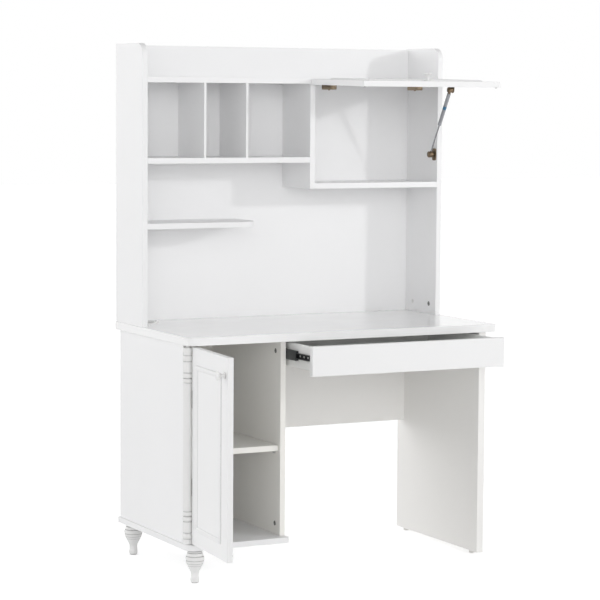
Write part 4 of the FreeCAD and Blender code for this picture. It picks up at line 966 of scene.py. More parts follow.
@dataclass(frozen=True)
class CamLock:
    """Cam disc of a knock-down joint, with a cross recess, a rim and an arrow notch.

    Attributes:
        cross: Half the length and half the width of a bar of the cross.
        notch: Where the notch starts and ends, from the middle.
    """

    radius: float = 0.0074
    depth: float = 0.0122
    sunk: float = 0.0003
    rim: float = 0.0011
    dish: float = 0.0006
    softening: float = 0.00015
    cross: Pair = (0.0042, 0.0008)
    cross_depth: float = 0.0032
    notch: Pair = (0.0050, 0.0072)
    notch_half: float = 0.0005
    notch_depth: float = 0.0014
    bore_room: float = 0.0001
    bore_depth_room: float = 0.0004

    def placed(self, name: str, seats: Sequence[Seat]) -> Piece:
        """Builds one cam and copies it to its seats.

        Args:
            name: The joined piece's name.
            seats: The seats.

        Returns:
            The joined piece.
        """
        body = rod("cam", Z_AXIS * -self.sunk, Z_AXIS * -self.depth, self.radius).step_top(self.rim, -self.dish)
        for x, y in (self.cross, self.cross[::-1]):
            body.carve(block("slot", (-x, -y, -self.cross_depth), (x, y, PROUD)))
        start, end = self.notch
        body.carve(block("notch", (start, -self.notch_half, -self.notch_depth), (end, self.notch_half, PROUD)))
        return gathered(name, body.soften(self.softening), seats)

    def bores(self, seats: Sequence[Seat]) -> list[Piece]:
        """Makes the cutters of the cams' bores."""
        deep, radius = self.depth + self.bore_depth_room + BORE_LEAD, self.radius + self.bore_room
        return [rod("bore", place + way * BORE_LEAD, -way * deep, radius) for place, way in seats]


@dataclass(frozen=True)
class Knob:
    """Turned knob with a flared bell and a domed face."""

    sides: int = 64
    crease: float = 45.0
    base_radius: float = 0.009
    steps: Profile = (
        (0.0025, 0.009, 0.0003), (0.004, 0.0045, -0.0012), (0.005, 0.0045), (0.010, 0.0132, -0.0016),
        (0.0015, 0.0145, 0.0003), (0.0015, 0.0140, 0.0003), (0.0015, 0.006, 0.0005))

    def made(self, name: str, place: Vector, direction: Vector) -> Piece:
        """Builds the knob at its seat."""
        knob = turned(name, self.base_radius, self.steps, self.sides).smooth(self.crease)
        return knob.carried(facing(place, direction))


@dataclass(frozen=True)
class MouldingFrame:
    """Mitred picture moulding, raised on a front that faces up at the origin's height.

    Attributes:
        share: Width of the frame as a share of the profile's 20 mm.
        profile: Steps inwards from the outer edge, each (inset, rise).
    """

    share: float = 1.0
    crease: float = 30.0
    profile: tuple[Pair, ...] = (
        (0.0, 0.0016), (0.0006, 0.0010), (0.0010, 0.0011), (0.0013, 0.0008), (0.0016, 0.0004), (0.0030, 0.0001),
        (0.0030, -0.0001), (0.0012, -0.0003), (0.0006, -0.0008), (0.0008, -0.0001), (0.0022, -0.0004),
        (0.0024, -0.0009), (0.0018, -0.0012), (0.0008, -0.0006))

    def made(self, name: str, low: Vector, high: Vector) -> Piece:
        """Builds the frame between two corners of its plan.

        Args:
            name: The piece's name.
            low: The outer outline's low corner.
            high: The outer outline's high corner.

        Returns:
            The frame.
        """
        bpy.ops.mesh.primitive_plane_add(size=1, location=(low + high) / 2)
        bpy.context.view_layer.objects.active.scale = (high.x - low.x, high.y - low.y, 1)
        piece = started(name)
        left_over = sum(rise for _, rise in self.profile)
        with piece.editing(picked=True):
            bpy.ops.mesh.select_mode(type="FACE")
            bpy.ops.mesh.extrude_region_move(TRANSFORM_OT_translate={"value": Z_AXIS * self.profile[0][1]})
            for margin, rise in self.profile[1:]:
                bpy.ops.mesh.inset(thickness=margin * self.share, depth=rise)
            bpy.ops.mesh.extrude_region_move(TRANSFORM_OT_translate={"value": Z_AXIS * -left_over})
            bpy.ops.mesh.delete(type="FACE")
            piece.pick(Element.FACE, lambda face: face.normal.z < -LOOKING)
            bpy.ops.mesh.delete(type="FACE")
            piece.pick(Element.EDGE, lambda edge: edge.is_boundary)
            bpy.ops.mesh.bridge_edge_loops()
        return piece.close_up().smooth(self.crease)


# --- Desktop and grommet ---------------------------------------------------------------------
@dataclass
class Desktop:
    """Lacquered desktop with a rounded left corner and a cable grommet."""

    left_radius: float = 0.035
    right_radius: float = 0.008
    softening: float = 0.002
    grommet_place: Pair = (0.080, 0.488)
    hole_radius: float = 0.027
    liner_bore: float = 0.0245
    hollow_radius: float = 0.0221
    hollow_length: float = 0.018
    cable_slot: tuple[Triple, Triple] = ((-0.012, -0.040, -0.01), (0.012, -0.01055, 0.02))
    liner_turning: Profile = ((0.018, 0.0267), (0, 0.030), (0.0017, 0.030), (0.0008, 0.0292, 0.0002))
    cap_turning: Profile = (
        (0.008, 0.0243), (0, 0.030), (0.0010, 0.030), (0.0008, 0.0288, 0.0003), (0, 0.0225), (-0.0004, 0.0215),
        (0, 0.004))

    def build(self) -> None:
        """Builds the desktop, the grommet's liner and its cap with a cable slot and a dimple."""
        low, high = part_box("desktop")
        top = block("desktop_slab", low, high)
        top.round_corner(low.x, low.y, self.left_radius, LARGE_ARC)
        top.round_corner(high.x, low.y, self.right_radius, SMALL_ARC)
        through, below = Z_AXIS * THROUGH, Z_AXIS * -OVERCUT
        top.carve(rod("hole", at(*self.grommet_place, low.z - OVERCUT), through, self.hole_radius, 64))
        top.soften(self.softening, 4).settled(Body.DESK, Finish.TOP, Slot.LACQUER, "desktop")
        self.fitting("grommet_liner", self.liner_turning, rod("bore", below, through, self.liner_bore, 72))
        hollow = rod("hollow", below, Z_AXIS * self.hollow_length, self.hollow_radius, 72)
        self.fitting("grommet_cap", self.cap_turning, hollow, block("slot", *self.cable_slot))

    def fitting(self, name: str, steps: Profile, *cutters: Piece) -> None:
        """Turns a part of the grommet, cuts it and sets it where its node is.

        Args:
            name: The part's name.
            steps: Its profile.
            *cutters: What is cut out of it.
        """
        node = f"cable_{name}"
        part = turned(name, steps[0][1], steps).carve(*cutters).smooth()
        part.moved(at(*self.grommet_place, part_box(node)[0].z))
        part.settled(Body.DESK, Finish.GROMMET, Slot.PLASTIC, node)


# --- Cabinet ---------------------------------------------------------------------------------
@dataclass
class Cabinet:
    """Door cabinet under the left end: base, sides, shelf, turned feet and corner column.

    Attributes:
        bored: Walls with bores, each a node, its cams' heights, its shelf pins' rows and its finish.
        plain: The other boards, each a node and its finish.
        stud_bore: Length and radius of a foot's bore.
        pin_bore: Length and radius of a shelf pin's bore.
    """

    base_left_radius: float = 0.035
    base_right_radius: float = 0.006
    base_softening: float = 0.0012
    wall_softening: float = 0.0006
    stud_bore: Pair = (0.02205, 0.00505)
    pin_bore: Pair = (0.01005, 0.00255)
    pin_shank: Pair = (0.008, 0.0025)
    pin_height: float = 0.379
    cam_rows: Pair = (0.068, 0.480)
    bored: tuple[tuple[str, Sequence[float], Sequence[float], Finish], ...] = (
        ("cabinet_left_side", (0.1535, 0.695), (0.068, 0.470), Finish.BOARD),
        ("cabinet_divider", (0.1535, 0.695), (0.068, 0.470), Finish.INSIDE),
        ("right_leg_panel", (0.695,), (), Finish.KNEE))
    plain: tuple[tuple[str, Finish], ...] = (
        ("cabinet_back_panel", Finish.INSIDE), ("cabinet_shelf", Finish.INSIDE), ("modesty_panel", Finish.KNEE))
    foot_x: float = 0.036
    foot_rows: Pair = (0.027, 0.505)
    foot_radius: float = 0.0105
    foot_turning: Profile = (
        (0.0025, 0.0130, 0.0006), (0.0135, 0.0136, 0.0007), (0.004, 0.0126, -0.0002), (0.010, 0.0129, -0.0003),
        (0.009, 0.0158, -0.0007), (0.014, 0.0225, 0.0003), (0, 0.0217), (0.0012, 0.0217), (0, 0.0236),
        (0.006, 0.0262, 0.0004), (0, 0.0252), (0.0012, 0.0252), (0, 0.0270), (0.0076, 0.0284, 0.0005),
        (0, 0.0269), (0.002, 0.0269), (0, 0.0289), (0.011, 0.0282, 0.0012), (0, 0.0250), (0.0022, 0.0250),
        (0, 0.0263), (0.0083, 0.0238, 0.0010), (0, 0.0210), (0.0022, 0.0210), (0, 0.0230),
        (0.0038, 0.0220, 0.0005), (0, 0.0205), (0.003, 0.0205), (0, 0.005), (0.012, 0.005))
    column_place: Pair = (0.016, 0.038)
    column_block: float = 0.0145
    column_ends: Pair = (0.005, 0.011)
    tenon: Pair = (0.008, 0.006)
    column_turning: Profile = (
        (0.010, 0.0128, -0.0008), (0, 0.0116), (0.0025, 0.0116), (0, 0.0132), (0.0165, 0.0132, 0.0023),
        (0, 0.0116), (0.0025, 0.0116), (0, 0.0136), (0.032, 0.0136), (0, 0.0116), (0.0025, 0.0116), (0, 0.0132),
        (0.014, 0.0132, 0.0022), (0, 0.011), (0.003, 0.011), (0, 0.0132), (0.0115, 0.0132, 0.0016), (0, 0.0116),
        (0.004, 0.0138, -0.0004))
    pin_turning: Profile = (
        (0.008, 0.0025), (0, 0.005), (0.0012, 0.005), (0.0003, 0.0046), (0.0048, 0.0046),
        (0.0007, 0.0038, 0.0002))
    cams: CamLock = CamLock()

    def build(self) -> None:
        """Builds the cabinet's boards, fittings and turned pieces."""
        self.base()
        self.walls()
        self.feet()
        self.column()
        self.shelf_pins()

    def base(self) -> None:
        """Builds the base board."""
        low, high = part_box("base_board")
        base = block("base_slab", low, high)
        base.round_corner(low.x, low.y, self.base_left_radius, LARGE_ARC)
        base.round_corner(high.x, low.y, self.base_right_radius, SMALL_ARC)
        length, radius = self.stud_bore
        for y in self.foot_rows:
            base.carve(rod("stud_hole", at(self.foot_x, y, low.z - OVERCUT), Z_AXIS * length, radius, 24))
        base.soften(self.base_softening, 3).settled(Body.DESK, Finish.BOARD, Slot.LACQUER, "base_board")

    def walls(self) -> None:
        """Builds the boards and the cams."""
        seats = []
        length, radius = self.pin_bore
        for node, cam_heights, pin_rows, finish in self.bored:
            cams = wall_seats(node, self.cam_rows, cam_heights)
            pins = wall_seats(node, pin_rows, (self.pin_height,))
            bores = [rod("bore", place + way * BORE_LEAD, way * -length, radius, 20) for place, way in pins]
            wall = block(f"{node}_board", *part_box(node)).carve(*self.cams.bores(cams), *bores)
            wall.soften(self.wall_softening).settled(Body.DESK, finish, Slot.LACQUER, node)
            seats += cams
        for node, finish in self.plain:
            board_on(node).settled(Body.DESK, finish, Slot.LACQUER, node)
        self.cams.placed("desk_cams", seats).settled(Body.DESK, Finish.ZINC, Slot.ZINC, "desk_cam_locks")

    def feet(self) -> None:
        """Turns one foot and sets it and its copy under the base."""
        model = turned("front_turned_foot", self.foot_radius, self.foot_turning, 80).smooth()
        feet = (model, model.copied("back_turned_foot"))
        for foot, y, node in zip(feet, self.foot_rows, ("front_left_foot", "back_left_foot")):
            foot.moved(at(self.foot_x, y, 0)).settled(Body.DESK, Finish.TURNED, Slot.LACQUER, node)

    def column(self) -> None:
        """Turns the corner column, with the same turning at both ends."""
        low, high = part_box("corner_column")
        turning_height = sum(height for height, *_ in self.column_turning)
        shaft = high.z - low.z - sum(self.column_ends) - self.tenon[0] - 2 * turning_height
        radii = [self.column_block] + [radius for _, radius, *_ in self.column_turning]
        mirrored = [(height, radii[i], *bulge) for i, (height, _, *bulge) in enumerate(self.column_turning)]
        steps = [(self.column_ends[0], self.column_block), *self.column_turning, (shaft, radii[-1]),
                 *mirrored[::-1], (self.column_ends[1], self.column_block), (0, self.tenon[1]), self.tenon]
        column = turned("turned_column", self.column_block, steps).smooth()
        column.moved(at(*self.column_place, low.z))
        column.settled(Body.DESK, Finish.TURNED, Slot.LACQUER, "corner_column")

    def shelf_pins(self) -> None:
        """Builds the shelf pins."""
        seats = [seat for node, _, rows, _ in self.bored for seat in wall_seats(node, rows, (self.pin_height,))]
        length, radius = self.pin_shank
        model = turned("pin", radius, self.pin_turning, 28).smooth().moved(Z_AXIS * -length)
        gathered("shelf_pin_set", model, seats).settled(Body.DESK, Finish.SCREW, Slot.ZINC, "shelf_pins")


@dataclass
class LegGlides:
    """Nylon glides nailed under the right leg."""

    x: float = 1.047
    rows: Pair = (0.060, 0.489)
    foot_radius: float = 0.0088
    steps: Profile = ((0.0012, 0.010, 0.0003), (0.0068, 0.010), (0, 0.003), (0.010, 0.003))

    def build(self) -> None:
        """Builds both glides."""
        first = turned("leg_glide_pads", self.foot_radius, self.steps, 40).smooth()
        second = first.copied("glide").moved(at(self.x, self.rows[1], 0))
        first.moved(at(self.x, self.rows[0], 0)).join(second)
        first.settled(Body.DESK, Finish.GLIDE, Slot.PLASTIC, "leg_glides")


# --- Fronts on hinges ------------------------------------------------------------------------
@dataclass
class HingedFront:
    """A front with a moulding, a knob and bumpers: built closed, then swung to the stored pose.

    Attributes:
        body: The CAD body that carries it; its value starts the names of nodes and pieces.
        left: Its left end on the closed front, from the desktop's left end.
        right: Its right end.
        bottom: Height of its lower edge.
        top: Height of its upper edge.
        outer_y: Its outer face's distance from the desktop's front.
        margins: Distance of the moulding from the left, right, bottom and top edges.
        knob_place: The knob's place along X and Z.
        bumper: The bumpers' turned profile.
        bumper_places: The bumpers' places along X and Z.
        edge: Width and steps of the rounded edges.
    """

    body: Body
    left: float
    right: float
    bottom: float
    top: float
    outer_y: float
    margins: tuple[float, float, float, float]
    knob_place: Pair
    bumper: Profile
    bumper_places: tuple[Pair, Pair]
    moulding_share: float = 1.0
    thickness: float = 0.018
    edge: tuple[float, int] = (0.0011, 3)
    knob_screw: CrossScrew = CrossScrew(0.0042, 0.0022)
    bumper_crease: float = 50.0

    def panel(self) -> Piece:
        """Builds the closed front's panel."""
        raise NotImplementedError

    def block(self) -> Piece:
        """Starts the closed front's panel."""
        low = at(self.left, self.outer_y, self.bottom)
        return block(f"{self.body.value}_slab", low, at(self.right, self.outer_y + self.thickness, self.top))

    def moulding(self) -> Piece:
        """Builds the moulding on the closed front.

        Returns:
            The moulding.
        """
        left, right, bottom, top = self.margins
        piece = MouldingFrame(self.moulding_share).made(
            f"{self.body.value}_moulding_frame", Vector((self.left + left, self.bottom + bottom, 0)),
            Vector((self.right - right, self.top - top, 0)))
        upright = Matrix.Rotation(math.radians(90), 4, "X")
        return piece.carried(Matrix.Translation(at(0, self.outer_y, 0)) @ upright)

    def bumpers(self) -> Piece:
        """Builds the soft bumpers on the closed front's inner face.

        Returns:
            The bumpers as one piece.
        """
        name = f"{self.body.value}_soft_bumpers"
        model = turned(name, self.bumper[0][1], self.bumper, 28).smooth(self.bumper_crease)
        inner_y = self.outer_y + self.thickness
        return gathered(name, model, [(at(x, inner_y, z), Y_AXIS) for x, z in self.bumper_places])

    def build(self) -> None:
        """Builds the panel, its moulding, its knob, the knob's screw and the bumpers."""
        name = self.body.value
        seat = at(self.knob_place[0], self.outer_y, self.knob_place[1])
        for piece, finish, slot, part in (
                (self.panel(), Finish.FRONT, Slot.LACQUER, "panel"),
                (self.moulding(), Finish.FRONT, Slot.LACQUER, "moulding"),
                (Knob().made(f"{name}_turned_knob", seat, -Y_AXIS), Finish.TURNED, Slot.LACQUER, "knob"),
                (self.knob_screw.placed(f"{name}_knob_screw_head", [seat + Y_AXIS * self.thickness], Y_AXIS),
                 Finish.SCREW, Slot.SCREW, "knob_screw"),
                *self.hinges(),
                (self.bumpers(), Finish.BUMPER, Slot.BUMPER, "bumpers")):
            piece.carried(swing(f"{name}_hinge")).settled(self.body, finish, slot, f"{name}_{part}")

    def hinges(self) -> list[tuple[Piece, Finish, Slot, str]]:
        """Builds a front's own hinge parts, each with its finish, slot and node's last words: none here."""
        return []


@dataclass
class Door(HingedFront):
    """Cabinet door on two hinges with knuckles."""

    body: Body = Body.DOOR
    left: float = 0.0325
    right: float = 0.3395
    bottom: float = 0.121
    top: float = 0.7245
    outer_y: float = 0.012
    margins: tuple[float, float, float, float] = (0.0365, 0.055, 0.0475, 0.052)
    moulding_share: float = 0.675
    knob_place: Pair = (0.314, 0.671)
    bumper: Profile = ((0.0009, 0.0035, 0.0001), (0.0008, 0.0020, 0.0004))
    bumper_places: tuple[Pair, Pair] = ((0.335, 0.141), (0.335, 0.7045))
    hinge_heights: Pair = (0.294, 0.564)
    hinge_height: float = 0.054
    pin_place: Pair = (0.0305, 0.020)
    knuckle_room: float = 0.0029
    leaf_sunk: float = 0.0015
    leaf_stop: float = 0.001

    def panel(self) -> Piece:
        """Builds the closed door's panel with its hinge recesses.

        Returns:
            The panel.
        """
        panel = self.block().soften(*self.edge)
        for middle in self.hinge_heights:
            foot, head = middle - self.hinge_height / 2, middle + self.hinge_height / 2
            pin = at(*self.pin_place, foot)
            leaf_low = at(self.left - OVERCUT, self.pin_place[1], foot)
            leaf_high = at(self.left + self.leaf_sunk, self.outer_y + self.thickness - self.leaf_stop, head)
            panel.carve(
                rod("knuckle_room", pin, Z_AXIS * self.hinge_height, self.knuckle_room, 32),
                block("leaf_room", leaf_low, leaf_high))
        return panel.smooth().evened(keep_sharp=True)


@dataclass
class Flap(HingedFront):
    """Lift-up flap with two bored hinge cups."""

    body: Body = Body.FLAP
    left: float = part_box("flap_panel")[0].x - FRONT_LEFT.x
    right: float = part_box("flap_panel")[1].x - FRONT_LEFT.x
    bottom: float = 1.183
    top: float = 1.538
    outer_y: float = 0.332
    margins: tuple[float, float, float, float] = (0.042, 0.042, 0.045, 0.055)
    knob_place: Pair = ((left + right) / 2, 1.218)
    bumper: Profile = ((0.0016, 0.004, 0.0001), (0.0011, 0.0024, 0.0005))
    bumper_places: tuple[Pair, Pair] = ((left + 0.009, 1.195), (right - 0.009, 1.195))
    hinge_places: Pair = (0.6795, 1.0035)
    cup_height: float = 1.517
    cup_radius: float = 0.0174
    cup_depth: float = 0.014
    slot_half: float = 0.0073
    slot_length: float = 0.026
    slot_depth: float = 0.0153
    cup_room: float = 0.0001
    cup_floor: float = 0.0005
    flange: tuple[Triple, Triple] = ((-0.026, -0.0005, -0.011), (0.026, 0.0012, 0.011))
    flange_rounding: float = 0.007
    cup_screw: CrossScrew = CrossScrew(0.0034, 0.0012)
    cup_screw_place: float = 0.0215
    pin_radius: float = 0.002
    pin_length: float = 0.021
    pin_from_top: float = 0.0078
    pin_from_face: float = 0.010

    def hinges(self) -> list[tuple[Piece, Finish, Slot, str]]:
        """Builds both hinge cups as one piece."""
        cups = [self.cup(x) for x in self.hinge_places]
        return [(cups[0].join(*cups[1:]).named("flap_hinge_cup_set"), Finish.BRONZE, Slot.BRONZE, "hinge_cups")]

    def inner(self, x: float, depth: float, z: float) -> Vector:
        """Gives a place at a depth behind the closed flap's inner face."""
        return at(x, self.outer_y + self.thickness - depth, z)

    def arm_slot(self, x: float, depth: float) -> Piece:
        """Makes the cutter of the slot in which an arm swings."""
        low = self.inner(x - self.slot_half, depth, self.top - self.slot_length)
        return block("slot", low, self.inner(x + self.slot_half, -OVERCUT, self.top + OVERCUT))

    def panel(self) -> Piece:
        """Builds the closed flap's panel with the cups' bores and the arms' slots.

        Returns:
            The panel.
        """
        panel = self.block()
        deep = self.cup_depth + BORE_LEAD + self.cup_room
        for x in self.hinge_places:
            mouth = self.inner(x, -BORE_LEAD, self.cup_height)
            panel.carve(
                rod("bore", mouth, Y_AXIS * -deep, self.cup_radius + self.cup_room, 56),
                self.arm_slot(x, self.slot_depth))
        return panel.soften(*self.edge)

    def cup(self, x: float) -> Piece:
        """Builds a hinge cup: a dish with a slotted flange, two screws and the pin.

        Args:
            x: Its place along the flap.

        Returns:
            The cup.
        """
        mouth = self.inner(x, 0, self.cup_height)
        dish = rod("cup", mouth, Y_AXIS * -self.cup_depth, self.cup_radius, 56)
        flange = block("flange", *(mouth + Vector(corner) for corner in self.flange))
        dish.weld(flange.round_edges(along(Y_AXIS), self.flange_rounding, SMALL_ARC))
        dish.carve(self.arm_slot(x, self.cup_depth - self.cup_floor)).soften(FITTING_EDGE)
        start = self.inner(x - self.pin_length / 2, self.pin_from_face, self.top - self.pin_from_top)
        pin = rod("pin", start, X_AXIS * self.pin_length, self.pin_radius, 24).smooth()
        seats = [mouth + Vector((side * self.cup_screw_place, self.flange[1][1], 0)) for side in (-1, 1)]
        return dish.join(pin, self.cup_screw.placed("cup_screws", seats, Y_AXIS))


@dataclass
class FlapHingeArms:
    """Cranked arms under the top shelf, each with its plate and adjusting screw."""

    places: Pair = Flap.hinge_places
    width: float = 0.013
    pin_y: float = 0.340
    pin_z: float = 1.5302
    neck_travel: Pair = (0.014, -0.0155)
    neck_width: float = 0.007
    front: float = 0.3545
    length: float = 0.066
    body_half: float = 0.010
    body_height: float = 0.018
    shelf_underside: float = 1.523
    body_room: float = 0.0005
    end_rounding: tuple[float, int] = (0.004, 6)
    side_rounding: tuple[float, int] = (0.002, 4)
    plate_half: float = 0.012
    plate_thickness: float = 0.002
    plate_rounding: float = 0.003
    knuckle_radius: float = 0.0045
    bore_radius: float = 0.00205
    screw: CrossScrew = CrossScrew(0.0038, 0.0026)
    screw_from_front: float = 0.033
    screw_sunk: float = 0.0004

    def build(self) -> None:
        """Builds both arms."""
        arms = [self.arm(x) for x in self.places]
        arms[0].join(*arms[1:]).named("flap_hinge_arm_set")
        arms[0].settled(Body.DESK, Finish.BRONZE, Slot.BRONZE, "flap_hinge_arms")

    def arm(self, x: float) -> Piece:
        """Builds one arm from its knuckle to the end of its plate.

        Args:
            x: Its place along the flap.

        Returns:
            The arm.
        """
        top, back = self.shelf_underside, self.front + self.length
        low = top - self.body_height
        body = block(
            "arm", at(x - self.body_half, self.front, low), at(x + self.body_half, back, top - self.body_room))
        for axis, rounding in ((X_AXIS, self.end_rounding), (Y_AXIS, self.side_rounding)):
            body.round_edges(along(axis, lambda place: place.z < low + TOUCH), *rounding)
        plate_low = at(x - self.plate_half, self.front, top - self.plate_thickness)
        plate = block("plate", plate_low, at(x + self.plate_half, back, top))
        plate.round_edges(along(Z_AXIS), self.plate_rounding, 6)
        start = at(x - self.width / 2, self.pin_y, self.pin_z)
        far = start + Vector((0, *self.neck_travel))
        way = (far - start).normalized()
        side = Vector((0, -way.z, way.y)) * (self.neck_width / 2)
        across = X_AXIS * self.width
        neck = slab("neck", [start + side, far + side, far - side, start - side], across)
        body.weld(plate, neck, rod("knuckle", start, across, self.knuckle_radius))
        across = X_AXIS * (self.width + 2 * PROUD)
        body.carve(rod("bore", start - X_AXIS * PROUD, across, self.bore_radius, 24)).soften(FITTING_EDGE)
        seat = at(x, self.front + self.screw_from_front, low + self.screw_sunk)
        return body.join(self.screw.placed("arm_screw", [seat], -Z_AXIS))


# --- Drawer and slides -----------------------------------------------------------------------
@dataclass
class Drawer:
    """Drawer box, where the CAD nodes are."""

    softening: float = 0.0012
    box_softening: float = 0.0005
    box: tuple[str, ...] = ("drawer_left_side", "drawer_right_side", "drawer_back", "drawer_bottom")

    def build(self) -> None:
        """Builds the front, the box and the bottom."""
        front = block("drawer_front_slab", *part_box("drawer_front")).soften(self.softening, 3)
        front.settled(Body.DRAWER, Finish.FRONT, Slot.LACQUER, "drawer_front")
        for node in self.box:
            board = board_on(node, self.box_softening)
            board.settled(Body.DRAWER, Finish.DRAWER_BOX, Slot.LACQUER, node)


@dataclass
class Slides:
    """Three-member slides: rolled channels with slots and screws.

    Attributes:
        outer: Distance of the web and of the flanges' tips from the divider, overall height and
            thickness of the flanges, as for the other two channels.
        metal: Thickness of the sheet.
        slot_reach: Where the slots' cutters start and end, from the divider.
        middle_x: The mirror plane between both slides.
        wall: The divider's face, from which the left slide's sizes are measured.
    """

    outer: tuple[float, ...] = (0.0, 0.0098, 0.034, 0.0015)
    middle: tuple[float, ...] = (0.0018, 0.0108, 0.0304, 0.00615)
    inner: tuple[float, ...] = (0.013, 0.0036, 0.0175, 0.0015)
    metal: float = 0.0015
    softening: float = 0.0005
    screw: CrossScrew = CrossScrew(0.0036, 0.0014)
    screw_count: int = 3
    screw_first: float = 0.014
    screw_pitch: float = 0.026
    screw_x: float = 0.0115
    slot_count: int = 4
    slot_first: float = 0.150
    slot_pitch: float = 0.060
    slot_size: Pair = (0.012, 0.004)
    slot_reach: Pair = (0.008, 0.020)
    slot_rounding: float = 0.0019
    middle_x: float = 0.6905
    wall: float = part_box("cabinet_divider")[1].x

    def build(self) -> None:
        """Builds both slides, the right one as the left one's mirror image."""
        mirror_x = at(self.middle_x, 0, 0).x
        outer = self.channel("slide_outer", "slide_cabinet_members", *self.outer)
        middle = self.channel("left_slide_channel", "left_slide_middle_member", *self.middle)
        inner = self.channel("slide_inner", "slide_drawer_members", *self.inner)
        low, middle_z = self.line("slide_drawer_members")
        (near, far), (length, width) = self.slot_reach, self.slot_size
        for i in range(self.slot_count):
            y = low.y + self.slot_first + i * self.slot_pitch
            slot = block("slot", (self.wall + near, y, middle_z - width / 2),
                         (self.wall + far, y + length, middle_z + width / 2))
            inner.carve(slot.round_edges(along(X_AXIS), self.slot_rounding, 5))
        right_middle = middle.reflected("right_slide_channel", mirror_x)
        outer.join(outer.reflected("outer_twin", mirror_x)).named("slide_cabinet_channels")
        inner.join(inner.reflected("inner_twin", mirror_x)).named("slide_drawer_channels")
        outer.settled(Body.DESK, Finish.SLIDE, Slot.SLIDE, "slide_cabinet_members")
        middle.settled(Body.LEFT_SLIDE, Finish.SLIDE, Slot.SLIDE, "left_slide_middle_member")
        right_middle.settled(Body.RIGHT_SLIDE, Finish.SLIDE, Slot.SLIDE, "right_slide_middle_member")
        inner.settled(Body.DRAWER, Finish.SLIDE, Slot.SLIDE, "slide_drawer_members")
        rows = [low.y + self.screw_first + i * self.screw_pitch for i in range(self.screw_count)]
        seats = [Vector((self.wall + self.screw_x, y, middle_z)) for y in rows]
        heads = self.screw.placed("slide_screw_heads", seats, -X_AXIS)
        heads.join(heads.reflected("heads_twin", mirror_x))
        heads.settled(Body.DRAWER, Finish.SCREW, Slot.SCREW, "slide_screws")

    def line(self, node: str) -> tuple[Vector, float]:
        """Gives the low corner of a node's box and the height of its middle."""
        low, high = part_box(node)
        return low, (low.z + high.z) / 2

    def channel(self, name: str, node: str, web: float, tip: float, height: float, flange: float) -> Piece:
        """Builds a channel of the left slide.

        Args:
            name: The piece's name.
            node: The CAD node that gives its place along the drawer.
            web: Distance of the web from the divider.
            tip: Distance of the flanges' tips from the divider.
            height: Overall height.
            flange: Thickness of the flanges.

        Returns:
            The channel with rolled edges.
        """
        low, middle = self.line(node)
        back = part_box(node)[1].y
        way = math.copysign(1, tip - web)
        left, right = sorted((self.wall + web, self.wall + tip))
        half = height / 2
        body = block(name, (left, low.y, middle - half), (right, back, middle + half))
        left, right = sorted((self.wall + web + way * self.metal, self.wall + tip + way * OVERCUT))
        half -= flange
        hollow = block("hollow", (left, low.y - OVERCUT, middle - half), (right, back + OVERCUT, middle + half))
        return body.carve(hollow).soften(self.softening)


# --- Hutch -----------------------------------------------------------------------------------
@dataclass
class Hutch:
    """Hutch on the desktop: sides with rounded shoulders, back, shelves and pigeonholes."""

    shoulder_radius: float = 0.038
    shelf_radius: float = 0.070
    side_softening: float = 0.0008
    cam_rows: Pair = (0.399, 0.506)
    cam_height: float = 0.788
    plain_boards: tuple[str, ...] = (
        "hutch_back_panel", "hutch_top_shelf", "hutch_partition", "pigeonhole_shelf",
        "pigeonhole_divider_left", "pigeonhole_divider_right", "flap_compartment_floor")
    cams: CamLock = CamLock()

    def build(self) -> None:
        """Builds the sides, the cams, the boards and the corner shelf."""
        sides = [self.side(node) for node in ("hutch_left_side", "hutch_right_side")]
        for name, finish, seats in zip(("front", "back"), (Finish.ZINC, Finish.CAP), zip(*sides)):
            cams = self.cams.placed(f"hutch_{name}_cams", seats)
            cams.settled(Body.DESK, finish, Slot.ZINC, "hutch_cam_locks")
        for node in self.plain_boards:
            board_on(node).settled(Body.DESK, Finish.BOARD, Slot.LACQUER, node)
        low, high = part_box("corner_shelf")
        shelf = block("corner_shelf_board", low, high).round_corner(high.x, low.y, self.shelf_radius, 24)
        shelf.soften(BOARD_EDGE).settled(Body.DESK, Finish.BOARD, Slot.LACQUER, "corner_shelf")

    def side(self, node: str) -> list[Seat]:
        """Builds a side.

        Args:
            node: Its CAD node.

        Returns:
            The seats of its cams.
        """
        low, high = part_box(node)
        seats = wall_seats(node, self.cam_rows, (self.cam_height,))
        shoulder = along(X_AXIS, lambda place: place.z > high.z - TOUCH and place.y < low.y + TOUCH)
        panel = block(f"{node}_board", low, high).round_edges(shoulder, self.shoulder_radius, LARGE_ARC)
        panel.carve(*self.cams.bores(seats)).soften(self.side_softening)
        panel.settled(Body.DESK, Finish.BOARD, Slot.LACQUER, node)
        return seats


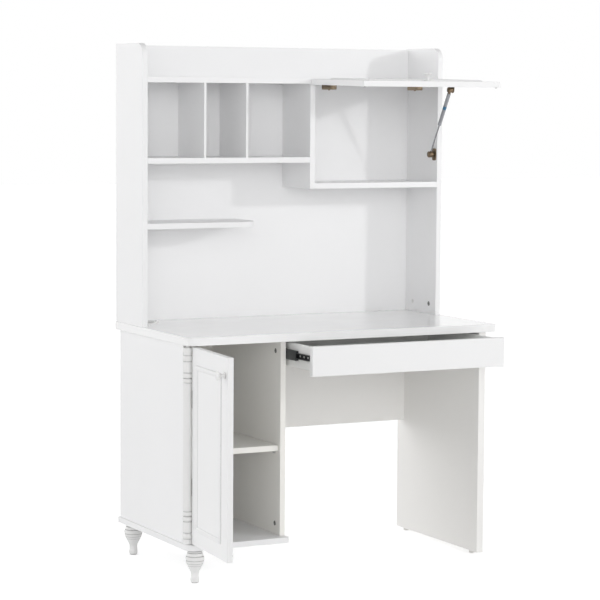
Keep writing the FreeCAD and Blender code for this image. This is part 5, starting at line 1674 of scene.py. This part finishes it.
# --- Gas strut -------------------------------------------------------------------------------
@dataclass
class GasStrut:
    """Gas strut: built along Z from its upper pivot downwards, then carried to its line."""

    length: float = 0.24768
    tube_radius: float = 0.006
    tube_foot: float = 0.0044
    tube_floor: float = 0.003
    tube_ends: float = 0.009
    tube_bore: float = 0.0048
    tube_length: float = 0.122
    tube_turning: Profile = (
        (0.0015, 0.006, 0.0004), (0.108, 0.006), (0.0012, 0.0054), (0.0012, 0.006), (0.0081, 0.006),
        (0.0020, 0.0044, 0.0006))
    band_start: float = 0.049
    band_width: float = 0.0115
    band_thickness: float = 0.00015
    band_grip: float = 0.0001
    rod_radius: float = 0.0026
    piston_radius: float = 0.0047
    piston_height: float = 0.006
    piston_sunk: float = 0.0065
    end_length: float = 0.0125
    end_width: float = 0.016
    end_rounding: float = 0.0010
    end_bulge: float = 0.0003
    upper_radius: float = 0.009
    lower_radius: float = 0.010
    neck_radius: float = 0.0045
    neck_sunk: float = 0.004
    neck_bulge: float = 0.0002
    stud_radius: float = 0.004
    stud_depth: float = 0.010
    play: float = 0.00005
    metal: float = 0.002
    gap: float = 0.0003
    plate_half: float = 0.010
    plate_length: float = 0.022
    plate_rounding: float = 0.004
    plate_screw: CrossScrew = CrossScrew(0.0026, 0.0009)
    plate_screw_place: Pair = (0.0165, 0.0055)
    side_rounding: float = 0.006
    side_screw: CrossScrew = CrossScrew(0.0033, 0.0012)
    side_screw_place: float = 0.0145
    collar_width: float = 0.0035
    collar_radius: float = 0.0075
    stem_radius: float = 0.005

    def build(self) -> None:
        """Builds the strut and its two brackets."""
        for piece, body, finish, slot, *nodes in (
                (self.upper_end(), Body.STRUT_TUBE, Finish.BRONZE, Slot.BRONZE, "strut_upper_end"),
                (self.tube(), Body.STRUT_TUBE, Finish.TUBE, Slot.TUBE, "strut_cylinder"),
                (self.band(), Body.STRUT_TUBE, Finish.LABEL, Slot.TUBE),
                (self.piston_rod(), Body.STRUT_PISTON, Finish.ROD, Slot.ROD, "strut_rod"),
                (self.lower_end(), Body.STRUT_PISTON, Finish.BRONZE, Slot.BRONZE, "strut_lower_end")):
            piece.carried(self.line()).settled(body, finish, slot, *nodes)
        upper = self.upper_bracket().carried(swing("flap_hinge"))
        upper.settled(Body.FLAP, Finish.BRONZE, Slot.BRONZE, "strut_upper_bracket")
        self.lower_bracket().settled(Body.DESK, Finish.BRONZE, Slot.BRONZE, "strut_lower_bracket")

    def line(self) -> Matrix:
        """Gives the matrix from the Z axis to the strut's line.

        Returns:
            The matrix.
        """
        start = Vector(joint("strut_upper_pivot")["pos_m"])
        way = Vector(joint("strut_stroke")["axis"])
        return Matrix.Translation(start) @ Matrix.Rotation(math.atan2(-way.y, way.z), 4, "X")

    def barrel(self, name: str, radius: float, z: float) -> Piece:
        """Builds a barrel end across the strut's line, with domed caps.

        Args:
            name: The piece's name.
            radius: Its radius.
            z: Its place along the strut.

        Returns:
            The barrel.
        """
        edge, bulge = self.end_rounding, self.end_bulge
        steps = [(edge, radius, bulge), (self.end_width - 2 * edge, radius), (edge, radius - edge, bulge)]
        barrel = turned(name, radius - edge, steps, 56)
        return barrel.carried(facing(Vector((-self.end_width / 2, 0, z)), X_AXIS))

    def upper_end(self) -> Piece:
        """Builds the socket on the tube.

        Returns:
            The socket.
        """
        socket = self.barrel("strut_upper_socket", self.upper_radius, 0)
        neck = Z_AXIS * (self.end_length - self.neck_sunk)
        socket.weld(rod("neck", Z_AXIS * self.neck_sunk, neck, self.neck_radius))
        start = X_AXIS * (self.end_width / 2 + PROUD)
        deep = X_AXIS * -(self.stud_depth + PROUD + self.play)
        return socket.carve(rod("bore", start, deep, self.stud_radius + self.play)).smooth(FITTING_CREASE)

    def tube(self) -> Piece:
        """Builds the pressure tube with a crimped groove and a rolled mouth.

        Returns:
            The tube.
        """
        start = Z_AXIS * self.tube_floor
        tube = turned("strut_pressure_tube", self.tube_foot, self.tube_turning, 56).carve(
            rod("bore", start, Z_AXIS * (self.tube_length - self.tube_ends), self.tube_bore),
            rod("guide", start, Z_AXIS * self.tube_length, self.rod_radius + self.play, 32))
        return tube.smooth(FITTING_CREASE).moved(Z_AXIS * self.end_length)

    def band(self) -> Piece:
        """Builds the blank coloured band round the tube.

        Returns:
            The band.
        """
        start, width, radius = self.end_length + self.band_start, self.band_width, self.tube_radius
        band = rod("strut_blank_band", Z_AXIS * start, Z_AXIS * width, radius + self.band_thickness, 56)
        core_start, core_width = Z_AXIS * (start - PROUD), Z_AXIS * (width + 2 * PROUD)
        core = rod("core", core_start, core_width, radius - self.band_grip, 56)
        return band.carve(core).smooth(FITTING_CREASE)

    def piston_rod(self) -> Piece:
        """Builds the rod with its piston inside the tube's mouth.

        Returns:
            The rod.
        """
        piston_end = self.end_length + self.tube_length - self.piston_sunk
        shank = self.length - self.end_length - piston_end
        steps = [(self.piston_height, self.piston_radius), (0, self.rod_radius), (shank, self.rod_radius)]
        piece = turned("strut_chromed_rod", self.piston_radius, steps, 40).smooth(FITTING_CREASE)
        return piece.moved(Z_AXIS * (piston_end - self.piston_height))

    def lower_end(self) -> Piece:
        """Builds the barrel end on the rod.

        Returns:
            The barrel end.
        """
        barrel = self.barrel("strut_lower_barrel", self.lower_radius, self.length)
        edge, radius = self.end_rounding, self.neck_radius
        steps = [(edge, radius, self.neck_bulge), (self.end_length - self.neck_sunk, radius)]
        neck = turned("neck", radius - edge, steps, 40).moved(Z_AXIS * (self.length - self.end_length))
        return barrel.weld(neck).smooth(FITTING_CREASE)

    def upper_bracket(self) -> Piece:
        """Builds the angle on the closed flap's inner face, with the stud for the socket.

        Returns:
            The angle.
        """
        pivot = swing("flap_hinge").inverted() @ Vector(joint("strut_upper_pivot")["pos_m"])
        face_y = at(0, Flap.outer_y + Flap.thickness, 0).y
        right = pivot.x + self.end_width / 2 + self.metal + self.gap
        left, low, high = right - self.plate_length, pivot.z - self.plate_half, pivot.z + self.plate_half
        plate = block("strut_flap_bracket", (left, face_y, low), (right, face_y + self.metal, high))
        plate.round_edges(along(Y_AXIS, lambda place: place.x < left + TOUCH), self.plate_rounding, 6)
        root = Vector((right, pivot.y, pivot.z))
        reach = self.metal + self.gap + self.stud_depth - self.play
        plate.weld(
            block("ear", (right - self.metal, face_y, low), (right, pivot.y, high)),
            rod("ear_end", root, X_AXIS * -self.metal, self.plate_half, 48),
            rod("stud", root, X_AXIS * -reach, self.stud_radius)).soften(FITTING_EDGE)
        x, z = self.plate_screw_place
        seats = [Vector((right - x, face_y + self.metal, pivot.z + side * z)) for side in (-1, 1)]
        return plate.join(self.plate_screw.placed("bracket_screws", seats, Y_AXIS))

    def lower_bracket(self) -> Piece:
        """Builds the plate on the hutch's side, with a stem and two screws.

        Returns:
            The plate.
        """
        low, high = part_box("strut_lower_bracket")
        middle = (low + high) / 2
        plate = block("strut_side_bracket", (high.x - self.metal, low.y, low.z), high)
        plate.round_edges(along(X_AXIS), self.side_rounding, SMALL_ARC)
        root = Vector((high.x, (self.line() @ Vector((0, 0, self.length))).y, middle.z))
        plate.weld(
            rod("collar", root, X_AXIS * -self.collar_width, self.collar_radius),
            rod("stem", root, X_AXIS * (low.x - high.x), self.stem_radius)).soften(FITTING_EDGE)
        x, z = high.x - self.metal, self.side_screw_place
        seats = [Vector((x, middle.y, middle.z + side * z)) for side in (-1, 1)]
        return plate.join(self.side_screw.placed("side_screws", seats, -X_AXIS))


# --- Carried-over CAD nodes ------------------------------------------------------------------
@dataclass
class HiddenFittings:
    """CAD nodes whose shape is right as it is: they only get their finish."""

    dressed: tuple[tuple[str, Finish], ...] = (
        ("door_hinge_cabinet_leaves", Finish.NICKEL), ("door_hinge_leaves", Finish.NICKEL),
        ("door_hinge_screws", Finish.SCREW))

    def build(self) -> None:
        """Dresses each node."""
        for node, finish in self.dressed:
            finish.cover(frame["nodes"][node])
            LOG.info("%s keeps its CAD shape", node)


# --- Studio ----------------------------------------------------------------------------------
@dataclass
class Studio:
    """Pale floor and soft light all round: a main lamp at the right and glowing parts of the surroundings.

    Attributes:
        glows: Bright parts of the surroundings, each a direction, how tight it is and how bright.
    """

    floor_size: float = 60.0
    floor_drop: float = 0.0002
    floor_tone: float = 0.90
    floor_lift: float = 0.48
    ambient: float = 0.14
    glows: tuple[tuple[Triple, float, float], ...] = (
        ((-0.7, 0.7, 0.05), 4.0, 2.35), ((-0.3, -1.0, -0.05), 12.0, 4.75), ((-1.0, -0.25, 0.2), 3.0, 0.60),
        ((1.0, -0.35, 0.2), 3.0, 1.20), ((0.45, 0.89, 0.12), 8.0, 1.0))
    key_power: float = 39.0
    key_size: float = 0.28
    key_way: Triple = (-1.0, 1.0, -0.40)
    key_distance: float = 5.0
    key_target: Triple = (0.0, 0.0, 1.0)

    def build(self) -> None:
        """Builds the floor, the surroundings and the lamp."""
        self.floor()
        self.surroundings()
        self.key_lamp()

    def floor(self) -> None:
        """Builds the floor: pale, white to the camera, with the object's shadow kept."""
        bpy.ops.mesh.primitive_plane_add(size=self.floor_size, location=(0, 0, -self.floor_drop))
        floor = bpy.context.view_layer.objects.active
        floor.name = "studio_floor"
        material = bpy.data.materials.new("studio_floor_paint")
        material.use_nodes = True
        material.node_tree.nodes.clear()
        nodes = NodeBoard(material.node_tree)
        paint = nodes.node("BsdfDiffuse", {"Color": (self.floor_tone, self.floor_tone, self.floor_tone, 1)})
        rays = nodes.node("LightPath").outputs
        seen = nodes.figure(Sum.LARGER, rays["Is Camera Ray"], rays["Is Glossy Ray"])
        glow = nodes.node("Emission", {"Strength": nodes.figure(Sum.MULTIPLY, seen, self.floor_lift)})
        both = nodes.node("AddShader", {0: paint.outputs[0], 1: glow.outputs[0]})
        nodes.node("OutputMaterial", {"Surface": both.outputs[0]})
        floor.data.materials.append(material)

    def surroundings(self) -> None:
        """Sets the world: soft light from its glowing parts, and white behind the object."""
        world = bpy.data.worlds.new("studio")
        bpy.context.scene.world = world
        world.use_nodes = True
        world.node_tree.nodes.clear()
        nodes = NodeBoard(world.node_tree)
        way = nodes.node("TexCoord").outputs["Generated"]
        strength = self.ambient
        for direction, tightness, brightness in self.glows:
            nearness = nodes.node(
                "VectorMath", {0: way, 1: Vector(direction).normalized()}, operation="DOT_PRODUCT")
            ahead = nodes.figure(Sum.LARGER, nearness.outputs["Value"], 0.0)
            glow = nodes.figure(Sum.POWER, ahead, tightness)
            strength = nodes.figure(Sum.ADD, nodes.figure(Sum.MULTIPLY, glow, brightness), strength)
        light = nodes.node("Background", {"Color": (1, 1, 1, 1), "Strength": strength})
        white = nodes.node("Background", {"Color": (1, 1, 1, 1)})
        seen = nodes.node("LightPath").outputs["Is Camera Ray"]
        mix = nodes.node("MixShader", {0: seen, 1: light.outputs[0], 2: white.outputs[0]})
        nodes.node("OutputWorld", {"Surface": mix.outputs[0]})

    def key_lamp(self) -> None:
        """Hangs the main lamp at the right in front of the desk."""
        way = Vector(self.key_way).normalized()
        data = bpy.data.lights.new("key_lamp", "AREA")
        data.shape = "DISK"
        data.size = self.key_size
        data.energy = self.key_power
        lamp = bpy.data.objects.new("key_lamp", data)
        lamp.location = Vector(self.key_target) - way * self.key_distance
        lamp.rotation_euler = way.to_track_quat("-Z", "Y").to_euler()
        bpy.context.scene.collection.objects.link(lamp)


@dataclass
class Viewpoint:
    """Camera at the viewing angle: its place from the desktop's front left corner, and its lens."""

    place: Triple = (-2.8095, -6.1747, 1.4717)
    azimuth: float = 27.40
    pitch: float = -4.84
    roll: float = 0.38
    focal_pixels: float = 2264.2
    image_centre: Pair = (304.04, 291.40)
    image_size: float = 600.0
    sensor: float = 36.0
    far_limit: float = 200.0

    def build(self) -> None:
        """Sets the camera up and makes it the scene's."""
        azimuth, pitch, roll = (math.radians(value) for value in (self.azimuth, self.pitch, self.roll))
        forward = Vector(
            (math.sin(azimuth) * math.cos(pitch), math.cos(azimuth) * math.cos(pitch), math.sin(pitch)))
        level = Vector((math.cos(azimuth), -math.sin(azimuth), 0))
        upward = level.cross(forward)
        right = level * math.cos(roll) + upward * math.sin(roll)
        up = upward * math.cos(roll) - level * math.sin(roll)
        data = bpy.data.cameras.new("viewpoint")
        data.sensor_width = self.sensor
        data.lens = self.focal_pixels * self.sensor / self.image_size
        data.shift_x = (self.image_size / 2 - self.image_centre[0]) / self.image_size
        data.shift_y = (self.image_centre[1] - self.image_size / 2) / self.image_size
        data.clip_end = self.far_limit
        camera = bpy.data.objects.new("viewpoint", data)
        turn = Matrix((right, up, -forward)).transposed().to_4x4()
        camera.matrix_world = Matrix.Translation(at(*self.place)) @ turn
        scene = bpy.context.scene
        scene.collection.objects.link(camera)
        scene.camera = camera
        scene.view_settings.view_transform = "Standard"


def main() -> None:
    """Builds every sub-assembly, the studio and the viewpoint."""
    logging.basicConfig(level=logging.INFO, format="%(message)s")
    assemblies = (
        Desktop(), Cabinet(), LegGlides(), Door(), Drawer(), Slides(), Hutch(), Flap(), FlapHingeArms(),
        GasStrut(), HiddenFittings(), Studio(), Viewpoint())
    for assembly in assemblies:
        assembly.build()
        LOG.info("built %s", type(assembly).__name__)


if __name__ == "__main__":
    main()
